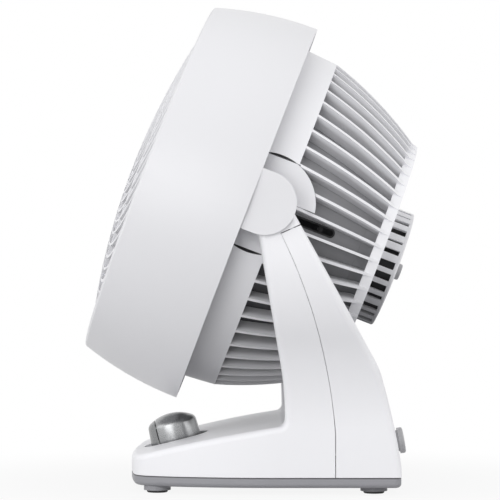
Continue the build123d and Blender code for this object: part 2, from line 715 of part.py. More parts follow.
def arm_lead():
    """From the terminals across the base and up inside the arm on the side of the head's cable slot."""
    low_r, high_r = arm_bend_r() + ARM_T / 2, arm_bend_r() - ARM_T / 2
    low_z = SADDLE_Z + low_r * math.tan(half_turn() / 2)
    high_z = ARM_TOP_CURVE_Z - high_r * math.tan(half_turn() / 2)
    foot_x, top_x = STAND_HALF_W - ARM_T / 2, ARM_OUT_X - ARM_T / 2
    terminal_y = terminal_rear() - TERMINAL_SIZE[1] / 2
    top_z = PIVOT_HEIGHT - EYE_SOLID - LEAD_R
    points = [
        (TERMINAL_SIZE[0] / 2 + LEAD_R / 2, terminal_y, terminal_height()),
        (foot_x, arm_middle_y(terminal_height()), terminal_height()),
        (foot_x, arm_middle_y(low_z), low_z),
        (top_x, arm_middle_y(high_z), high_z),
        (top_x, arm_middle_y(top_z), top_z),
    ]
    return lead(points, [LEAD_BEND, low_r, high_r])


# ================================================================== inlet, switch and knob
def cord_inlet():
    """The round inlet on the back: a domed collar outside and a threaded neck through the wall."""
    collar = tube(INLET_R, 0, SEAT_GAP, INLET_PROUD)
    collar = fillet(collar.edges().sort_by(Axis.Z)[-1], INLET_PROUD / 3)
    body = collar + tube(INLET_NECK_R, 0, -INLET_NECK_L, SEAT_GAP + INLET_PROUD / 2)
    return inlet_place() * (body - tube(INLET_BORE_R, 0, INLET_PROUD - INLET_BORE_DEPTH, FAR))


def inlet_nut():
    """The nut that holds the inlet from inside."""
    top = -STAND_WALL - SEAT_GAP
    nut = Pos(0, 0, top - INLET_NUT_T) * extrude(RegularPolygon(INLET_NUT_R, 6), INLET_NUT_T)
    return inlet_place() * (nut - tube(INLET_NECK_R + THREAD_FIT, 0, -FAR, FAR))


def switch_top():
    """Height of the switch body's top under the deck, on the knob's axis."""
    return -RECESS_DEPTH - RECESS_FLOOR_T - SEAT_GAP


def speed_switch():
    """The rotary switch under the deck, with a threaded neck that the spindle turns in."""
    top, half = switch_top(), SWITCH_SIZE / 2
    body = block(-half, half, -half, half, top - SWITCH_DEPTH, top)
    body = chamfer(body.edges().filter_by(Axis.Z), SWITCH_SIZE / 12)
    body += tube(SWITCH_NECK_R, 0, top - 1, SWITCH_NECK_TOP)
    return knob_place() * (body - tube(SPINDLE_R + RUNNING_FIT, 0, top - SPINDLE_DEPTH, FAR))


def switch_nut():
    """The hexagon nut that holds the switch to the floor of the recess."""
    nut = Pos(0, 0, -RECESS_DEPTH + SEAT_GAP) * extrude(RegularPolygon(SWITCH_NUT_R, 6), SWITCH_NUT_T)
    return knob_place() * (nut - tube(SWITCH_NECK_R + THREAD_FIT, 0, -FAR, FAR))


def switch_spindle():
    """The spindle that the knob is pressed on."""
    spindle = tube(SPINDLE_R, 0, switch_top() - SPINDLE_DEPTH + SEAT_GAP, KNOB_SHOULDER - SEAT_GAP)
    return knob_place() * chamfer(spindle.edges().sort_by(Axis.Z)[-1], SPINDLE_R / 5)


def knob_form():
    """The outside of the knob: tapered skirt, rounded shoulder and a gently domed top."""
    low = -RECESS_DEPTH + KNOB_FLOAT
    shoulder = (KNOB_TOP_R, KNOB_SHOULDER)
    crown_edge = (KNOB_TOP_R - KNOB_SHOULDER_R, KNOB_SHOULDER + KNOB_SHOULDER_R)
    return turned(
        Line((0, low), (KNOB_BASE_R, low)),
        Line((KNOB_BASE_R, low), shoulder),
        TangentArc(shoulder, crown_edge, tangent=(KNOB_TOP_R - KNOB_BASE_R, KNOB_SHOULDER - low)),
        TangentArc((0, KNOB_HEIGHT), crown_edge, tangent=(1, 0)),
        Line((0, KNOB_HEIGHT), (0, low)),
    )


def pointer_zone(moved):
    """The room of the knob's insert, in front of the cross groove and above its ledge."""
    return block(-FAR, FAR, -FAR, KNOB_GROOVE_Y - moved, KNOB_LEDGE + moved, FAR)


def knob():
    """The turned knob: hollow below, with a hub for the spindle and a ledge for its insert."""
    hollow = tube(KNOB_TOP_R - KNOB_WALL, KNOB_HUB_R, -FAR, KNOB_SHOULDER)
    hollow -= block(-FAR, FAR, -FAR, KNOB_GROOVE_Y + KNOB_WALL, -FAR, FAR)
    body = knob_form() - hollow - tube(SPINDLE_R + PRESS_GAP, 0, -FAR, KNOB_SHOULDER)
    body -= tube(SWITCH_NUT_R + SEAT_GAP, 0, -FAR, SWITCH_NECK_TOP + SEAT_GAP)
    return knob_place() * (body - pointer_zone(-KNOB_GROOVE_W / 2))


def knob_pointer():
    """The smooth insert at the front of the knob, beyond the groove, that points to the setting."""
    return knob_place() * (knob_form() & pointer_zone(KNOB_GROOVE_W / 2))


# ================================================================== ring and front grille
def ring_arc(moved_in, height):
    """The ring's outer curve up to a height, as (radius, z), moved in by the wall."""
    slant = RING_REAR_R - RING_FRONT_R
    bend_r = (slant**2 + RING_LENGTH**2) / (2 * slant)
    start = (RING_REAR_R - moved_in, 0)
    end = (RING_REAR_R - bend_r + math.sqrt((bend_r - moved_in) ** 2 - height**2), height)
    return start, end, TangentArc(start, end, tangent=(0, 1))


def ring_solid():
    """The solid inside the ring's outer curve."""
    start, end, curve = ring_arc(0, RING_LENGTH)
    return turned(Line((0, 0), start), curve, Line(end, (0, RING_LENGTH)), Line((0, RING_LENGTH), (0, 0)))


def pivot_across(radius, x0, x1):
    """A cylinder around the tilt axis, in the head's own frame."""
    return along_x(radius, x0, x1, AXIS_DROP, -RIM_AHEAD)


def on_circle(count, radius, start):
    """Places around the fan axis, the first at a start angle."""
    return [Rot(0, 0, start + i * 360.0 / count) * Pos(radius, 0, 0) for i in range(count)]


def ring_screw_places():
    """Where the duct's flange is screwed to the ring."""
    return on_circle(RING_SCREWS, (RING_LIP_R + RING_FRONT_R) / 2, 30.0)


def front_ring():
    """The plain outer ring: curved wall, front lip, screw bosses and a round tab over each pivot."""
    lip_z = RING_LENGTH - RING_LIP_T
    start, end, curve = ring_arc(0, RING_LENGTH)
    in_start, in_end, in_curve = ring_arc(RING_WALL, lip_z)
    face = face_of(
        curve,
        Line(end, (RING_LIP_R, RING_LENGTH)),
        Line((RING_LIP_R, RING_LENGTH), (RING_LIP_R, lip_z)),
        Line((RING_LIP_R, lip_z), in_end),
        in_curve,
        Line(in_start, start),
    )
    face = fillet(face.vertices().sort_by_distance((*end, 0))[0], RING_EDGE_R)
    ring = revolve(Plane.XZ * face, Axis.Z)
    low_y, high_y = AXIS_DROP - EAR_R, AXIS_DROP + EAR_R
    tab = pivot_across(EAR_R, EAR_IN_X, EAR_OUT_X) - block(0, FAR, -FAR, FAR, 0, FAR)
    tab += block(EAR_IN_X, EAR_OUT_X, low_y, high_y, -RIM_AHEAD, EAR_ROOT / 4)
    tab += block(EAR_IN_X, RING_REAR_R, low_y, high_y, EAR_ROOT / 4, EAR_ROOT) & ring_solid()
    boss = tube(BOSS_R, 0, DUCT_FRONT_Z + SEAT_GAP, RING_LENGTH - RING_LIP_T / 2)
    ring += [(place * boss & ring_solid()).solid() for place in ring_screw_places()]
    ring += both_sides(tab.solid())
    return ring - [place * tube(SCREW_R + THREAD_FIT, 0, 0, lip_z) for place in ring_screw_places()]


def dome(moved_in):
    """The ball whose front is the grille's domed face, moved in."""
    edge_r = GRILLE_R - GRILLE_RIM_W
    curve_r = (edge_r**2 + GRILLE_RISE**2) / (2 * GRILLE_RISE)
    return Pos(0, 0, RING_LENGTH + GRILLE_RISE - moved_in - curve_r) * Sphere(curve_r)


def grille_rib():
    """The plan of one spiral rib of the front grille."""
    turn = math.radians(GRILLE_SWEEP)
    inner_r, outer_r = GRILLE_DISC_R - GRILLE_RIB_T, GRILLE_R - GRILLE_RIM_W / 2
    middle_r, middle_turn = (inner_r + outer_r) / 2, GRILLE_MID_SHARE * turn
    middle = (middle_r * math.cos(middle_turn), middle_r * math.sin(middle_turn))
    spine = ThreePointArc((inner_r, 0), middle, (outer_r * math.cos(turn), outer_r * math.sin(turn)))
    return trace(spine, GRILLE_RIB_T)


def grille_screw_places():
    """Where the duct's flange is screwed to the grille's rim."""
    return on_circle(GRILLE_SCREWS, GRILLE_R - GRILLE_RIM_W / 2, 0.0)


def front_grille():
    """The domed front grille: rim, spiral ribs, two hoops and a plain middle disc."""
    half = GRILLE_RIB_T / 2
    rim_in_r = GRILLE_R - GRILLE_RIM_W
    plan = Circle(GRILLE_DISC_R) + (Circle(GRILLE_R - GRILLE_RIM_W / 2) - Circle(rim_in_r))
    plan += [Circle(r + half) - Circle(r - half) for r in GRILLE_HOOPS]
    plan += round_array(GRILLE_RIBS, grille_rib())
    grille = Pos(0, 0, RING_LENGTH - 2 * GRILLE_T) * extrude(plan, 2 * GRILLE_T + GRILLE_RISE)
    grille = (grille & dome(0)) - dome(GRILLE_T)
    rim = tube(GRILLE_R, rim_in_r, DUCT_FRONT_Z + SEAT_GAP, RING_LENGTH)
    bore = tube(SCREW_R + THREAD_FIT, 0, 0, RING_LENGTH - RING_LIP_T)
    return grille + rim - [place * bore for place in grille_screw_places()]


# ================================================================== duct and rear grille
def fin_points(moved_in):
    """Front, middle and rear of the rear grille's outer curve, moved in, as (radius, z)."""
    outline = ((COLLAR_R, COLLAR_REAR_Z), FIN_MID, FIN_END)
    arc = ThreePointArc(*outline)
    share = 1 - moved_in / arc.radius
    centre = arc.arc_center
    return [(centre.X + share * (r - centre.X), centre.Y + share * (z - centre.Y)) for r, z in outline]


def duct_solid(moved_in):
    """The solid inside the duct's outer face, moved in by the wall."""
    front, middle, rear = fin_points(FIN_DEPTH + DUCT_FIN_GAP + moved_in)
    body = turned(
        Line((0, rear[1]), rear),
        ThreePointArc(rear, middle, front),
        Line(front, (front[0], FAR)),
        Line((front[0], FAR), (0, FAR)),
        Line((0, FAR), (0, rear[1])),
    )
    return body & tube(DUCT_R - moved_in, 0, -FAR, FAR)


def pivot_disc_zone():
    """The region that each flat pivot disc may fill, clear of the rear grille."""
    low_y, high_y = AXIS_DROP - NOTCH_HALF + SEAT_GAP, AXIS_DROP + NOTCH_HALF - SEAT_GAP
    zone = block(0, FAR, low_y, high_y, COLLAR_REAR_Z, NOTCH_FRONT_Z - SEAT_GAP)
    return zone + block(0, FAR, DISC_CUT_Y, FAR, -FAR, COLLAR_REAR_Z)


def disc_pocket_zone():
    """The room behind each pivot disc, a wall in from the disc's own outline."""
    low_y, high_y = AXIS_DROP - NOTCH_HALF + DUCT_WALL, AXIS_DROP + NOTCH_HALF - DUCT_WALL
    zone = block(0, FAR, low_y, high_y, COLLAR_REAR_Z - DUCT_WALL, NOTCH_FRONT_Z - DUCT_WALL)
    return zone + block(0, FAR, DISC_CUT_Y + DUCT_WALL, FAR, -FAR, COLLAR_REAR_Z)


def shoulder_screw_places():
    """Where the rear grille's flange is screwed to the duct's shoulder."""
    return on_circle(SHOULDER_SCREWS, SHOULDER_SCREW_R, 30.0)


def slot_prism(moved_in):
    """The cable slot's outline, cut towards +X, moved in from its edge."""
    low_y = FIN_T / 2 + SLOT_MARGIN
    length, height = SLOT_LENGTH - 2 * moved_in, SLOT_HEIGHT - 2 * moved_in
    outline = RectangleRounded(height, length, SLOT_CORNER_R - moved_in)
    place = Pos(PIVOT_DISC_X, low_y + SLOT_HEIGHT / 2, SLOT_Z) * Rot(0, 90, 0) * Rot(0, 0, 90)
    return place * extrude(outline, DUCT_R / 2, both=True)


def duct():
    """The air duct that carries the head: wall, front flange, shoulder, pivot discs and cable slot."""
    body = duct_solid(0) & tube(FAR, 0, DUCT_REAR_Z, DUCT_FRONT_Z)
    body += tube(DUCT_FLANGE_R, 0, DUCT_FRONT_Z - DUCT_FLANGE_T, DUCT_FRONT_Z)
    body += tube(SHOULDER_R, 0, SHOULDER_Z, SHOULDER_Z + SHOULDER_T)
    body += [place * tube(BOSS_R, 0, SHOULDER_Z, SHOULDER_Z + BOSS_L) for place in shoulder_screw_places()]
    disc = pivot_across(PIVOT_DISC_R, PIVOT_DISC_X - PIVOT_DISC_DEPTH, PIVOT_DISC_X) & pivot_disc_zone()
    pocket = pivot_across(PIVOT_DISC_R - DUCT_WALL, 0, PIVOT_DISC_X - DUCT_WALL)
    pocket &= disc_pocket_zone()
    body += both_sides(disc.solid())
    body -= duct_solid(DUCT_WALL)
    body -= both_sides(pocket.solid())
    body -= pivot_across(PIN_R + PRESS_GAP, -FAR, FAR)
    bore = tube(SCREW_R + THREAD_FIT, 0, 0, SHOULDER_Z + BOSS_L + 1)
    body -= [place * bore for place in shoulder_screw_places()]
    hole = tube(SCREW_R + SCREW_FIT, 0, DUCT_FRONT_Z - 2 * DUCT_FLANGE_T, FAR)
    body -= [place * hole for place in ring_screw_places() + grille_screw_places()]
    return body - slot_prism(0)


def cable_grommet():
    """A rubber edging round the cable slot, thicker than the duct's wall."""
    frame = slot_prism(PRESS_GAP) - slot_prism(GROMMET_W)
    return frame & (duct_solid(-GROMMET_PROUD) - duct_solid(DUCT_WALL + GROMMET_PROUD))


def rear_rib():
    """One rib of the rear grille: a fin down the side that turns in and runs to the hub plate."""
    front, middle, rear = fin_points(0)
    in_front, in_middle, in_rear = fin_points(FIN_DEPTH)
    root = (COLLAR_R - COLLAR_WALL / 2, COLLAR_REAR_Z + FIN_ROOT)
    spoke_z = REAR_FACE_Z + SPOKE_DEPTH
    hub_r = HUB_PLATE_R - SPOKE_T
    face = face_of(
        ThreePointArc(front, middle, rear),
        Line(rear, (BAND_R, REAR_FACE_Z)),
        Line((BAND_R, REAR_FACE_Z), (hub_r, REAR_FACE_Z)),
        Line((hub_r, REAR_FACE_Z), (hub_r, spoke_z)),
        Line((hub_r, spoke_z), (in_rear[0], spoke_z)),
        Line((in_rear[0], spoke_z), in_rear),
        ThreePointArc(in_rear, in_middle, in_front),
        Line(in_front, (in_front[0], root[1])),
        Line((in_front[0], root[1]), root),
        Line(root, (root[0], COLLAR_REAR_Z)),
        Line((root[0], COLLAR_REAR_Z), front),
    )
    return extrude(Plane.XZ * face, FIN_T / 2, both=True)


def collar():
    """The smooth band in front of the fins, with the inner flange that is screwed to the duct."""
    outer = ((COLLAR_R, COLLAR_REAR_Z), (COLLAR_BULGE_R, COLLAR_BULGE_Z), (COLLAR_FRONT_R, COLLAR_FRONT_Z))
    inner = [(r - COLLAR_WALL, z) for r, z in outer]
    inner_front = (COLLAR_FRONT_R - COLLAR_WALL, COLLAR_FRONT_Z - SHOULDER_T)
    inner[2] = inner_front
    return turned(
        ThreePointArc(*outer),
        Line(outer[2], (COLLAR_FLANGE_R, COLLAR_FRONT_Z)),
        Line((COLLAR_FLANGE_R, COLLAR_FRONT_Z), (COLLAR_FLANGE_R, COLLAR_FRONT_Z - SHOULDER_T)),
        Line((COLLAR_FLANGE_R, COLLAR_FRONT_Z - SHOULDER_T), inner_front),
        ThreePointArc(inner[2], inner[1], inner[0]),
        Line(inner[0], outer[0]),
    )


def motor_screw_places():
    """Where the motor is screwed to the hub plate."""
    return on_circle(MOTOR_SCREWS, MOTOR_SCREW_R, 45.0)


def pivot_room():
    """What the rear grille leaves free around each pivot for the disc, the arm and its eye."""
    low_y, high_y = AXIS_DROP - NOTCH_HALF, AXIS_DROP + NOTCH_HALF
    notch = block(0, FAR, low_y, high_y, COLLAR_REAR_Z - 1, NOTCH_FRONT_Z)
    disc = pivot_across(PIVOT_DISC_R + SEAT_GAP, DUCT_R / 2, FAR)
    below = block(0, FAR, -FAR, DISC_CUT_Y - SEAT_GAP, -FAR, COLLAR_REAR_Z)
    eye = pivot_across(ARM_EYE_R + EYE_ROOM, DUCT_R / 2, FAR)
    return ((disc - below) + notch + eye) & block(DUCT_R / 2, FAR, -FAR, FAR, -FAR, FAR)


def rear_grille():
    """The rear grille in one moulding: collar, fins, rear band, mid hoop and hub plate."""
    rear_band = tube(BAND_R, BAND_R - BAND_WALL, REAR_FACE_Z, REAR_FACE_Z + BAND_LENGTH)
    half = SPOKE_T / 2
    hoop = tube(MID_HOOP_R + half, MID_HOOP_R - half, REAR_FACE_Z, REAR_FACE_Z + SPOKE_DEPTH)
    hub = tube(HUB_PLATE_R, 0, REAR_FACE_Z, REAR_FACE_Z + HUB_PLATE_T)
    grille = collar().solid().fuse(*round_array(FIN_COUNT, rear_rib().solid()), rear_band, hoop, hub)
    grille -= both_sides(pivot_room().solid())
    hole = tube(SCREW_R + SCREW_FIT, 0, 0, FAR)
    grille -= [place * hole for place in shoulder_screw_places()]
    return grille - [place * Rot(180, 0, 0) * hole for place in motor_screw_places()]


# ================================================================== motor and its cover
def motor_cover():
    """The cup over the back of the motor, with a domed end and slots all round its side."""
    front_z = REAR_FACE_Z - SEAT_GAP
    edge = (COVER_R, COVER_EDGE_Z)
    face = face_of(
        Line((0, front_z), (COVER_R, front_z)),
        Line((COVER_R, front_z), edge),
        ThreePointArc(edge, (COVER_R * 0.6, (COVER_EDGE_Z + 2 * COVER_REAR_Z) / 3), (0, COVER_REAR_Z)),
        Line((0, COVER_REAR_Z), (0, front_z)),
    )
    face = fillet(face.vertices().sort_by_distance((*edge, 0))[0], COVER_WALL / 2)
    cup = revolve(Plane.XZ * face, Axis.Z)
    cup -= tube(COVER_R - COVER_WALL, 0, COVER_EDGE_Z, FAR)
    length = COVER_SLOT_FRONT_Z - COVER_SLOT_REAR_Z
    slot = extrude(SlotOverall(length, COVER_SLOT_W), COVER_WALL, both=True)
    slot_z = (COVER_SLOT_FRONT_Z + COVER_SLOT_REAR_Z) / 2
    cup -= round_array(COVER_SLOTS, Pos(COVER_R - COVER_WALL / 2, 0, slot_z) * Rot(0, 90, 0) * slot)
    return cup - tube(SCREW_R + SCREW_FIT, 0, -FAR, 0)


def motor_cap():
    """The cap over the screw in the middle of the motor cover."""
    low, high = COVER_CAP_Z, COVER_REAR_Z - SEAT_GAP
    cap = tube(COVER_CAP_R, 0, low, high)
    cap = fillet(cap.edges().sort_by(Axis.Z)[0], (high - low) / 3)
    return cap + tube(SCREW_R, 0, low / 2 + high / 2, REAR_FACE_Z - SCREW_HEAD_T)


def housing_half(end_z, split_z, bearing_z):
    """One cup of the motor housing, with a hub round its bearing; it opens towards the split."""
    inward = math.copysign(1, split_z - end_z)

    def ring(outer_r, start_z, stop_z):
        return tube(outer_r, 0, *sorted((start_z, stop_z)))

    cup = ring(MOTOR_R, end_z, split_z)
    cup = fillet(cup.edges().filter_by(GeomType.CIRCLE).sort_by_distance((0, 0, end_z))[0], MOTOR_WALL)
    cup -= ring(MOTOR_R - MOTOR_WALL, end_z + inward * MOTOR_WALL, split_z + inward)
    cup += ring(HOUSING_HUB_R, end_z + inward * MOTOR_WALL / 2, bearing_z)
    return cup - ring(BEARING_R + PRESS_GAP, end_z + inward * MOTOR_WALL, bearing_z + inward)


def rear_housing():
    """The motor's rear cup, which is screwed to the hub plate of the rear grille."""
    end_z = HUB_FACE_Z + SEAT_GAP
    cup = housing_half(end_z, MOTOR_SPLIT_Z - SEAT_GAP / 2, end_z + MOTOR_WALL + BEARING_L)
    boss_top = end_z + MOTOR_WALL + BOSS_L
    cup += [place * tube(BOSS_R, 0, end_z + MOTOR_WALL / 2, boss_top) for place in motor_screw_places()]
    return cup - [place * tube(SCREW_R + THREAD_FIT, 0, -FAR, boss_top) for place in motor_screw_places()]


def front_housing():
    """The motor's front cup, with the hole that the shaft comes out of."""
    cup = housing_half(MOTOR_FRONT_Z, MOTOR_SPLIT_Z + SEAT_GAP / 2, MOTOR_FRONT_Z - MOTOR_WALL - BEARING_L)
    return cup - tube(SHAFT_R + SEAT_GAP, 0, MOTOR_FRONT_Z - BEARING_L, FAR)


def bearing(low_z):
    """A plain bearing for the shaft."""
    return tube(BEARING_R, SHAFT_R + RUNNING_FIT, low_z, low_z + BEARING_L - SEAT_GAP)


def rear_bearing():
    """The bearing in the motor's rear cup."""
    return bearing(HUB_FACE_Z + SEAT_GAP + MOTOR_WALL + SEAT_GAP)


def front_bearing():
    """The bearing in the motor's front cup."""
    return bearing(MOTOR_FRONT_Z - MOTOR_WALL - BEARING_L)


def coil_places():
    """Where the copper passes through the laminations."""
    return on_circle(COIL_BARS, sum(COIL_R) / 2, 0.0)


def stator():
    """The stack of laminations round the rotor."""
    low, high = LAMINATION_Z - STATOR_STACK / 2, LAMINATION_Z + STATOR_STACK / 2
    stack = tube(MOTOR_R - MOTOR_WALL - SEAT_GAP, ROTOR_R + AIR_GAP, low, high)
    return stack - [place * tube(COIL_BAR_R + SEAT_GAP, 0, -FAR, 0) for place in coil_places()]


def windings():
    """The copper: a ring at each end of the laminations, joined through them."""
    near, far = STATOR_STACK / 2 + SEAT_GAP, STATOR_STACK / 2 + SEAT_GAP + COIL_L
    coil = tube(COIL_R[1], COIL_R[0], near, far)
    coil = chamfer(coil.edges(), COIL_L / 4)
    bars = [place * tube(COIL_BAR_R, 0, -near - 1, near + 1) for place in coil_places()]
    return Pos(0, 0, LAMINATION_Z) * (coil + Rot(180, 0, 0) * coil + bars)


def rotor():
    """The rotor, pressed on the shaft."""
    low, high = LAMINATION_Z - ROTOR_STACK / 2, LAMINATION_Z + ROTOR_STACK / 2
    body = tube(ROTOR_R, SHAFT_R + PRESS_GAP, low, high)
    return chamfer(body.edges().filter_by(GeomType.CIRCLE).group_by(SortBy.RADIUS)[-1], 1)


def motor_shaft():
    """The shaft, from the rear bearing to the fan's nut."""
    shaft = tube(SHAFT_R, 0, HUB_FACE_Z + SEAT_GAP + MOTOR_WALL + SEAT_GAP, SHAFT_FRONT_Z)
    return chamfer(shaft.edges().filter_by(GeomType.CIRCLE), SHAFT_R / 8)


def head_lead():
    """From the motor straight across the duct, as far as the cable slot."""
    middle_y = FIN_T / 2 + SLOT_MARGIN + SLOT_HEIGHT / 2
    start = math.sqrt(MOTOR_R**2 - middle_y**2) + SEAT_GAP
    return along_x(LEAD_R, start + SEAT_GAP, HEAD_LEAD_END_X, middle_y, LAMINATION_Z)


def head_screws():
    """The short screws of the head: ring, front grille, rear grille and motor, all pointing forward."""
    seats = [(ring_screw_places() + grille_screw_places(), DUCT_FRONT_Z - DUCT_FLANGE_T)]
    seats += [(shoulder_screw_places(), COLLAR_FRONT_Z - SHOULDER_T), (motor_screw_places(), REAR_FACE_Z)]
    lowered = [place * Pos(0, 0, seat - SEAT_GAP) for places, seat in seats for place in places]
    return [place * screw(SHORT_SCREW_L) for place in lowered]


# ================================================================== fan
def blade():
    """One blade, twisted and cambered, from inside the hub to beyond its tip."""
    sections = []
    for i in range(BLADE_SECTIONS):
        share = i / (BLADE_SECTIONS - 1)
        radius = FAN_HUB_R / 2 + share * (BLADE_R - FAN_HUB_R / 2 + 2)
        span = max(0.0, (radius - FAN_HUB_R) / (BLADE_R - FAN_HUB_R))
        half = (BLADE_ROOT_CHORD + span * (BLADE_TIP_CHORD - BLADE_ROOT_CHORD)) / 2
        pitch = math.radians(BLADE_ROOT_PITCH + span * (BLADE_TIP_PITCH - BLADE_ROOT_PITCH))
        camber, edge = BLADE_CAMBER * half, BLADE_T / 4
        face = face_of(
            Line((-half, -edge), (-half, edge)),
            ThreePointArc((-half, edge), (0, camber + BLADE_T / 2), (half, edge)),
            Line((half, edge), (half, -edge)),
            ThreePointArc((half, -edge), (0, camber - BLADE_T / 2), (-half, -edge)),
        )
        chord_dir = (0, math.cos(pitch), math.sin(pitch))
        sections.append(Plane(origin=(radius, 0, BLADE_Z), x_dir=chord_dir, z_dir=(1, 0, 0)) * face)
    return loft(sections) & tube(BLADE_R, 0, -FAR, FAR)


def impeller():
    """The fan: a cup-shaped hub on a boss, with its blades."""
    hub = tube(FAN_HUB_R, 0, FAN_HUB_REAR_Z, FAN_HUB_FRONT_Z)
    hub = fillet(hub.edges().filter_by(GeomType.CIRCLE).sort_by(Axis.Z)[-1], FAN_HUB_WALL * 2)
    fan = hub + round_array(BLADES, blade().solid())
    hollow = tube(FAN_HUB_R - FAN_HUB_WALL, FAN_BOSS_R, -FAR, FAN_HUB_FRONT_Z - FAN_HUB_WALL)
    fan -= hollow + tube(FAN_BOSS_R + 1, 0, -FAR, FAN_HUB_REAR_Z + FAN_HUB_WALL)
    return fan - tube(SHAFT_R + PRESS_GAP, 0, -FAR, FAR)


def fan_nut():
    """The round nut that holds the fan on its shaft."""
    low = FAN_HUB_FRONT_Z + SEAT_GAP
    nut = tube(FAN_NUT_R, 0, low, low + FAN_NUT_L)
    nut = fillet(nut.edges().sort_by(Axis.Z)[-1], FAN_NUT_R / 2)
    return nut - tube(SHAFT_R + THREAD_FIT, 0, 0, SHAFT_FRONT_Z + SEAT_GAP)


# ================================================================== pivots
def pivot_pin(side):
    """A hollow pin, headed inside the duct, that carries the head in the arm's bush; side is +1 or -1."""
    head_x = PIVOT_DISC_X - DUCT_WALL - SEAT_GAP
    pin = along_x(PIN_R, side * head_x, side * (EAR_IN_X - SEAT_GAP))
    pin += along_x(PIN_HEAD_R, side * (head_x - PIN_HEAD_T), side * head_x)
    return Pos(0, AXIS_DROP, -RIM_AHEAD) * (pin - along_x(PIN_BORE_R, 0, side * FAR))


def washer(side, inner_x, thickness, bore_r):
    """A washer on the tilt axis, in the world's frame."""
    ring = along_x(WASHER_R, side * inner_x, side * (inner_x + thickness))
    return Pos(0, 0, PIVOT_HEIGHT) * (ring - along_x(bore_r, -FAR, FAR))


def inner_washers():
    """Friction washers between the duct's discs and the eyes; they turn with the head."""
    inner_x = PIVOT_DISC_X + SEAT_GAP
    return [washer(side, inner_x, INNER_WASHER_T, PIN_R + PRESS_GAP) for side in (-1, 1)]


def outer_washers():
    """Thin washers between the eyes and the ring's tabs; they turn with the head."""
    inner_x = ARM_OUT_X + SEAT_GAP
    return [washer(side, inner_x, OUTER_WASHER_T, PIN_R + PRESS_GAP) for side in (-1, 1)]


def arm_bush(side):
    """The bush in the arm's eye; side is +1 or -1."""
    bush = along_x(BUSH_R, side * (EYE_IN_X + PRESS_GAP), side * (ARM_OUT_X - PRESS_GAP))
    return Pos(0, 0, PIVOT_HEIGHT) * (bush - along_x(PIN_R + RUNNING_FIT, -FAR, FAR))


def on_head(piece):
    """A piece, or a list of them, moved from the head's own frame to where the head stands."""
    return [head_place() * item for item in piece] if isinstance(piece, list) else head_place() * piece


def all_pieces():
    """Every sub-part by name, each where it stands."""
    stand = {
        "base_shell": base_shell(),
        "rear_cover": rear_cover(),
        "base_plate": base_plate(),
        "foot_pads": foot_pads(),
        "plate_screws": plate_screws(),
        "arm_bush_left": arm_bush(-1),
        "arm_bush_right": arm_bush(1),
        "cord_inlet": cord_inlet(),
        "inlet_nut": inlet_nut(),
        "speed_switch": speed_switch(),
        "switch_nut": switch_nut(),
        "power_board": power_board(),
        "board_screws": board_screws(),
        "terminal_block": terminal_block(),
        "capacitor": capacitor(),
        "base_lead": base_lead(),
        "lead_clamp": lead_clamp(),
        "clamp_screws": clamp_screws(),
        "switch_lead": switch_lead(),
        "arm_lead": arm_lead(),
        "knob": knob(),
        "knob_pointer": knob_pointer(),
        "switch_spindle": switch_spindle(),
        "inner_washers": inner_washers(),
        "outer_washers": outer_washers(),
    }
    head = {
        "front_ring": front_ring(),
        "front_grille": front_grille(),
        "duct": duct(),
        "cable_grommet": cable_grommet(),
        "rear_grille": rear_grille(),
        "motor_cover": motor_cover(),
        "motor_cap": motor_cap(),
        "rear_housing": rear_housing(),
        "front_housing": front_housing(),
        "rear_bearing": rear_bearing(),
        "front_bearing": front_bearing(),
        "stator": stator(),
        "windings": windings(),
        "head_lead": head_lead(),
        "head_screws": head_screws(),
        "pivot_pin_left": pivot_pin(-1),
        "pivot_pin_right": pivot_pin(1),
        "impeller": impeller(),
        "motor_shaft": motor_shaft(),
        "rotor": rotor(),
        "fan_nut": fan_nut(),
    }
    return stand | {name: on_head(piece) for name, piece in head.items()}


if __name__ == "__main__":
    os.makedirs("parts", exist_ok=True)
    for name, piece in all_pieces().items():
        items = piece if isinstance(piece, list) else [piece]
        solids = [solid for item in items for solid in item.solids()]
        export_step(solids[0] if len(solids) == 1 else Compound(children=solids), f"parts/{name}.step")
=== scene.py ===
"""Dresses a table air circulator: finishes for its pieces, a few modelled pieces, and a studio."""

import json
import math

import bmesh
import bpy
from mathutils import Matrix, Vector


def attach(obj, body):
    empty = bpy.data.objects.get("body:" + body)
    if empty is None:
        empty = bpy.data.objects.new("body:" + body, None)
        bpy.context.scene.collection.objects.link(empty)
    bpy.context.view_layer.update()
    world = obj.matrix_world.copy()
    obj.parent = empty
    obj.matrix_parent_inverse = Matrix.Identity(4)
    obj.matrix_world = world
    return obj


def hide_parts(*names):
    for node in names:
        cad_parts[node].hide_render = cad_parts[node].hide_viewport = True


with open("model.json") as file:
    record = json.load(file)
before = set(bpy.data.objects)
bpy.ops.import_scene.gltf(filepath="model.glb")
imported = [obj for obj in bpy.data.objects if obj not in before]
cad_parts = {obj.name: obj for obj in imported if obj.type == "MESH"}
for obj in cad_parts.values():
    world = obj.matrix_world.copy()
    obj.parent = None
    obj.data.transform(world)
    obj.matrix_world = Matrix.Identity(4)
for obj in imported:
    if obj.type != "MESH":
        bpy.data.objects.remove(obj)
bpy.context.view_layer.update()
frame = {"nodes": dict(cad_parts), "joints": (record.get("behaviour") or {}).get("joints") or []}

bl_info = {
    "name": "Air circulator dressing",
    "version": (1, 0, 0),
    "blender": (4, 5, 0),
    "location": "3D View > Sidebar > Air circulator",
    "description": "Finishes and small hardware for a tilting table air circulator, with its studio",
    "category": "Object",
}

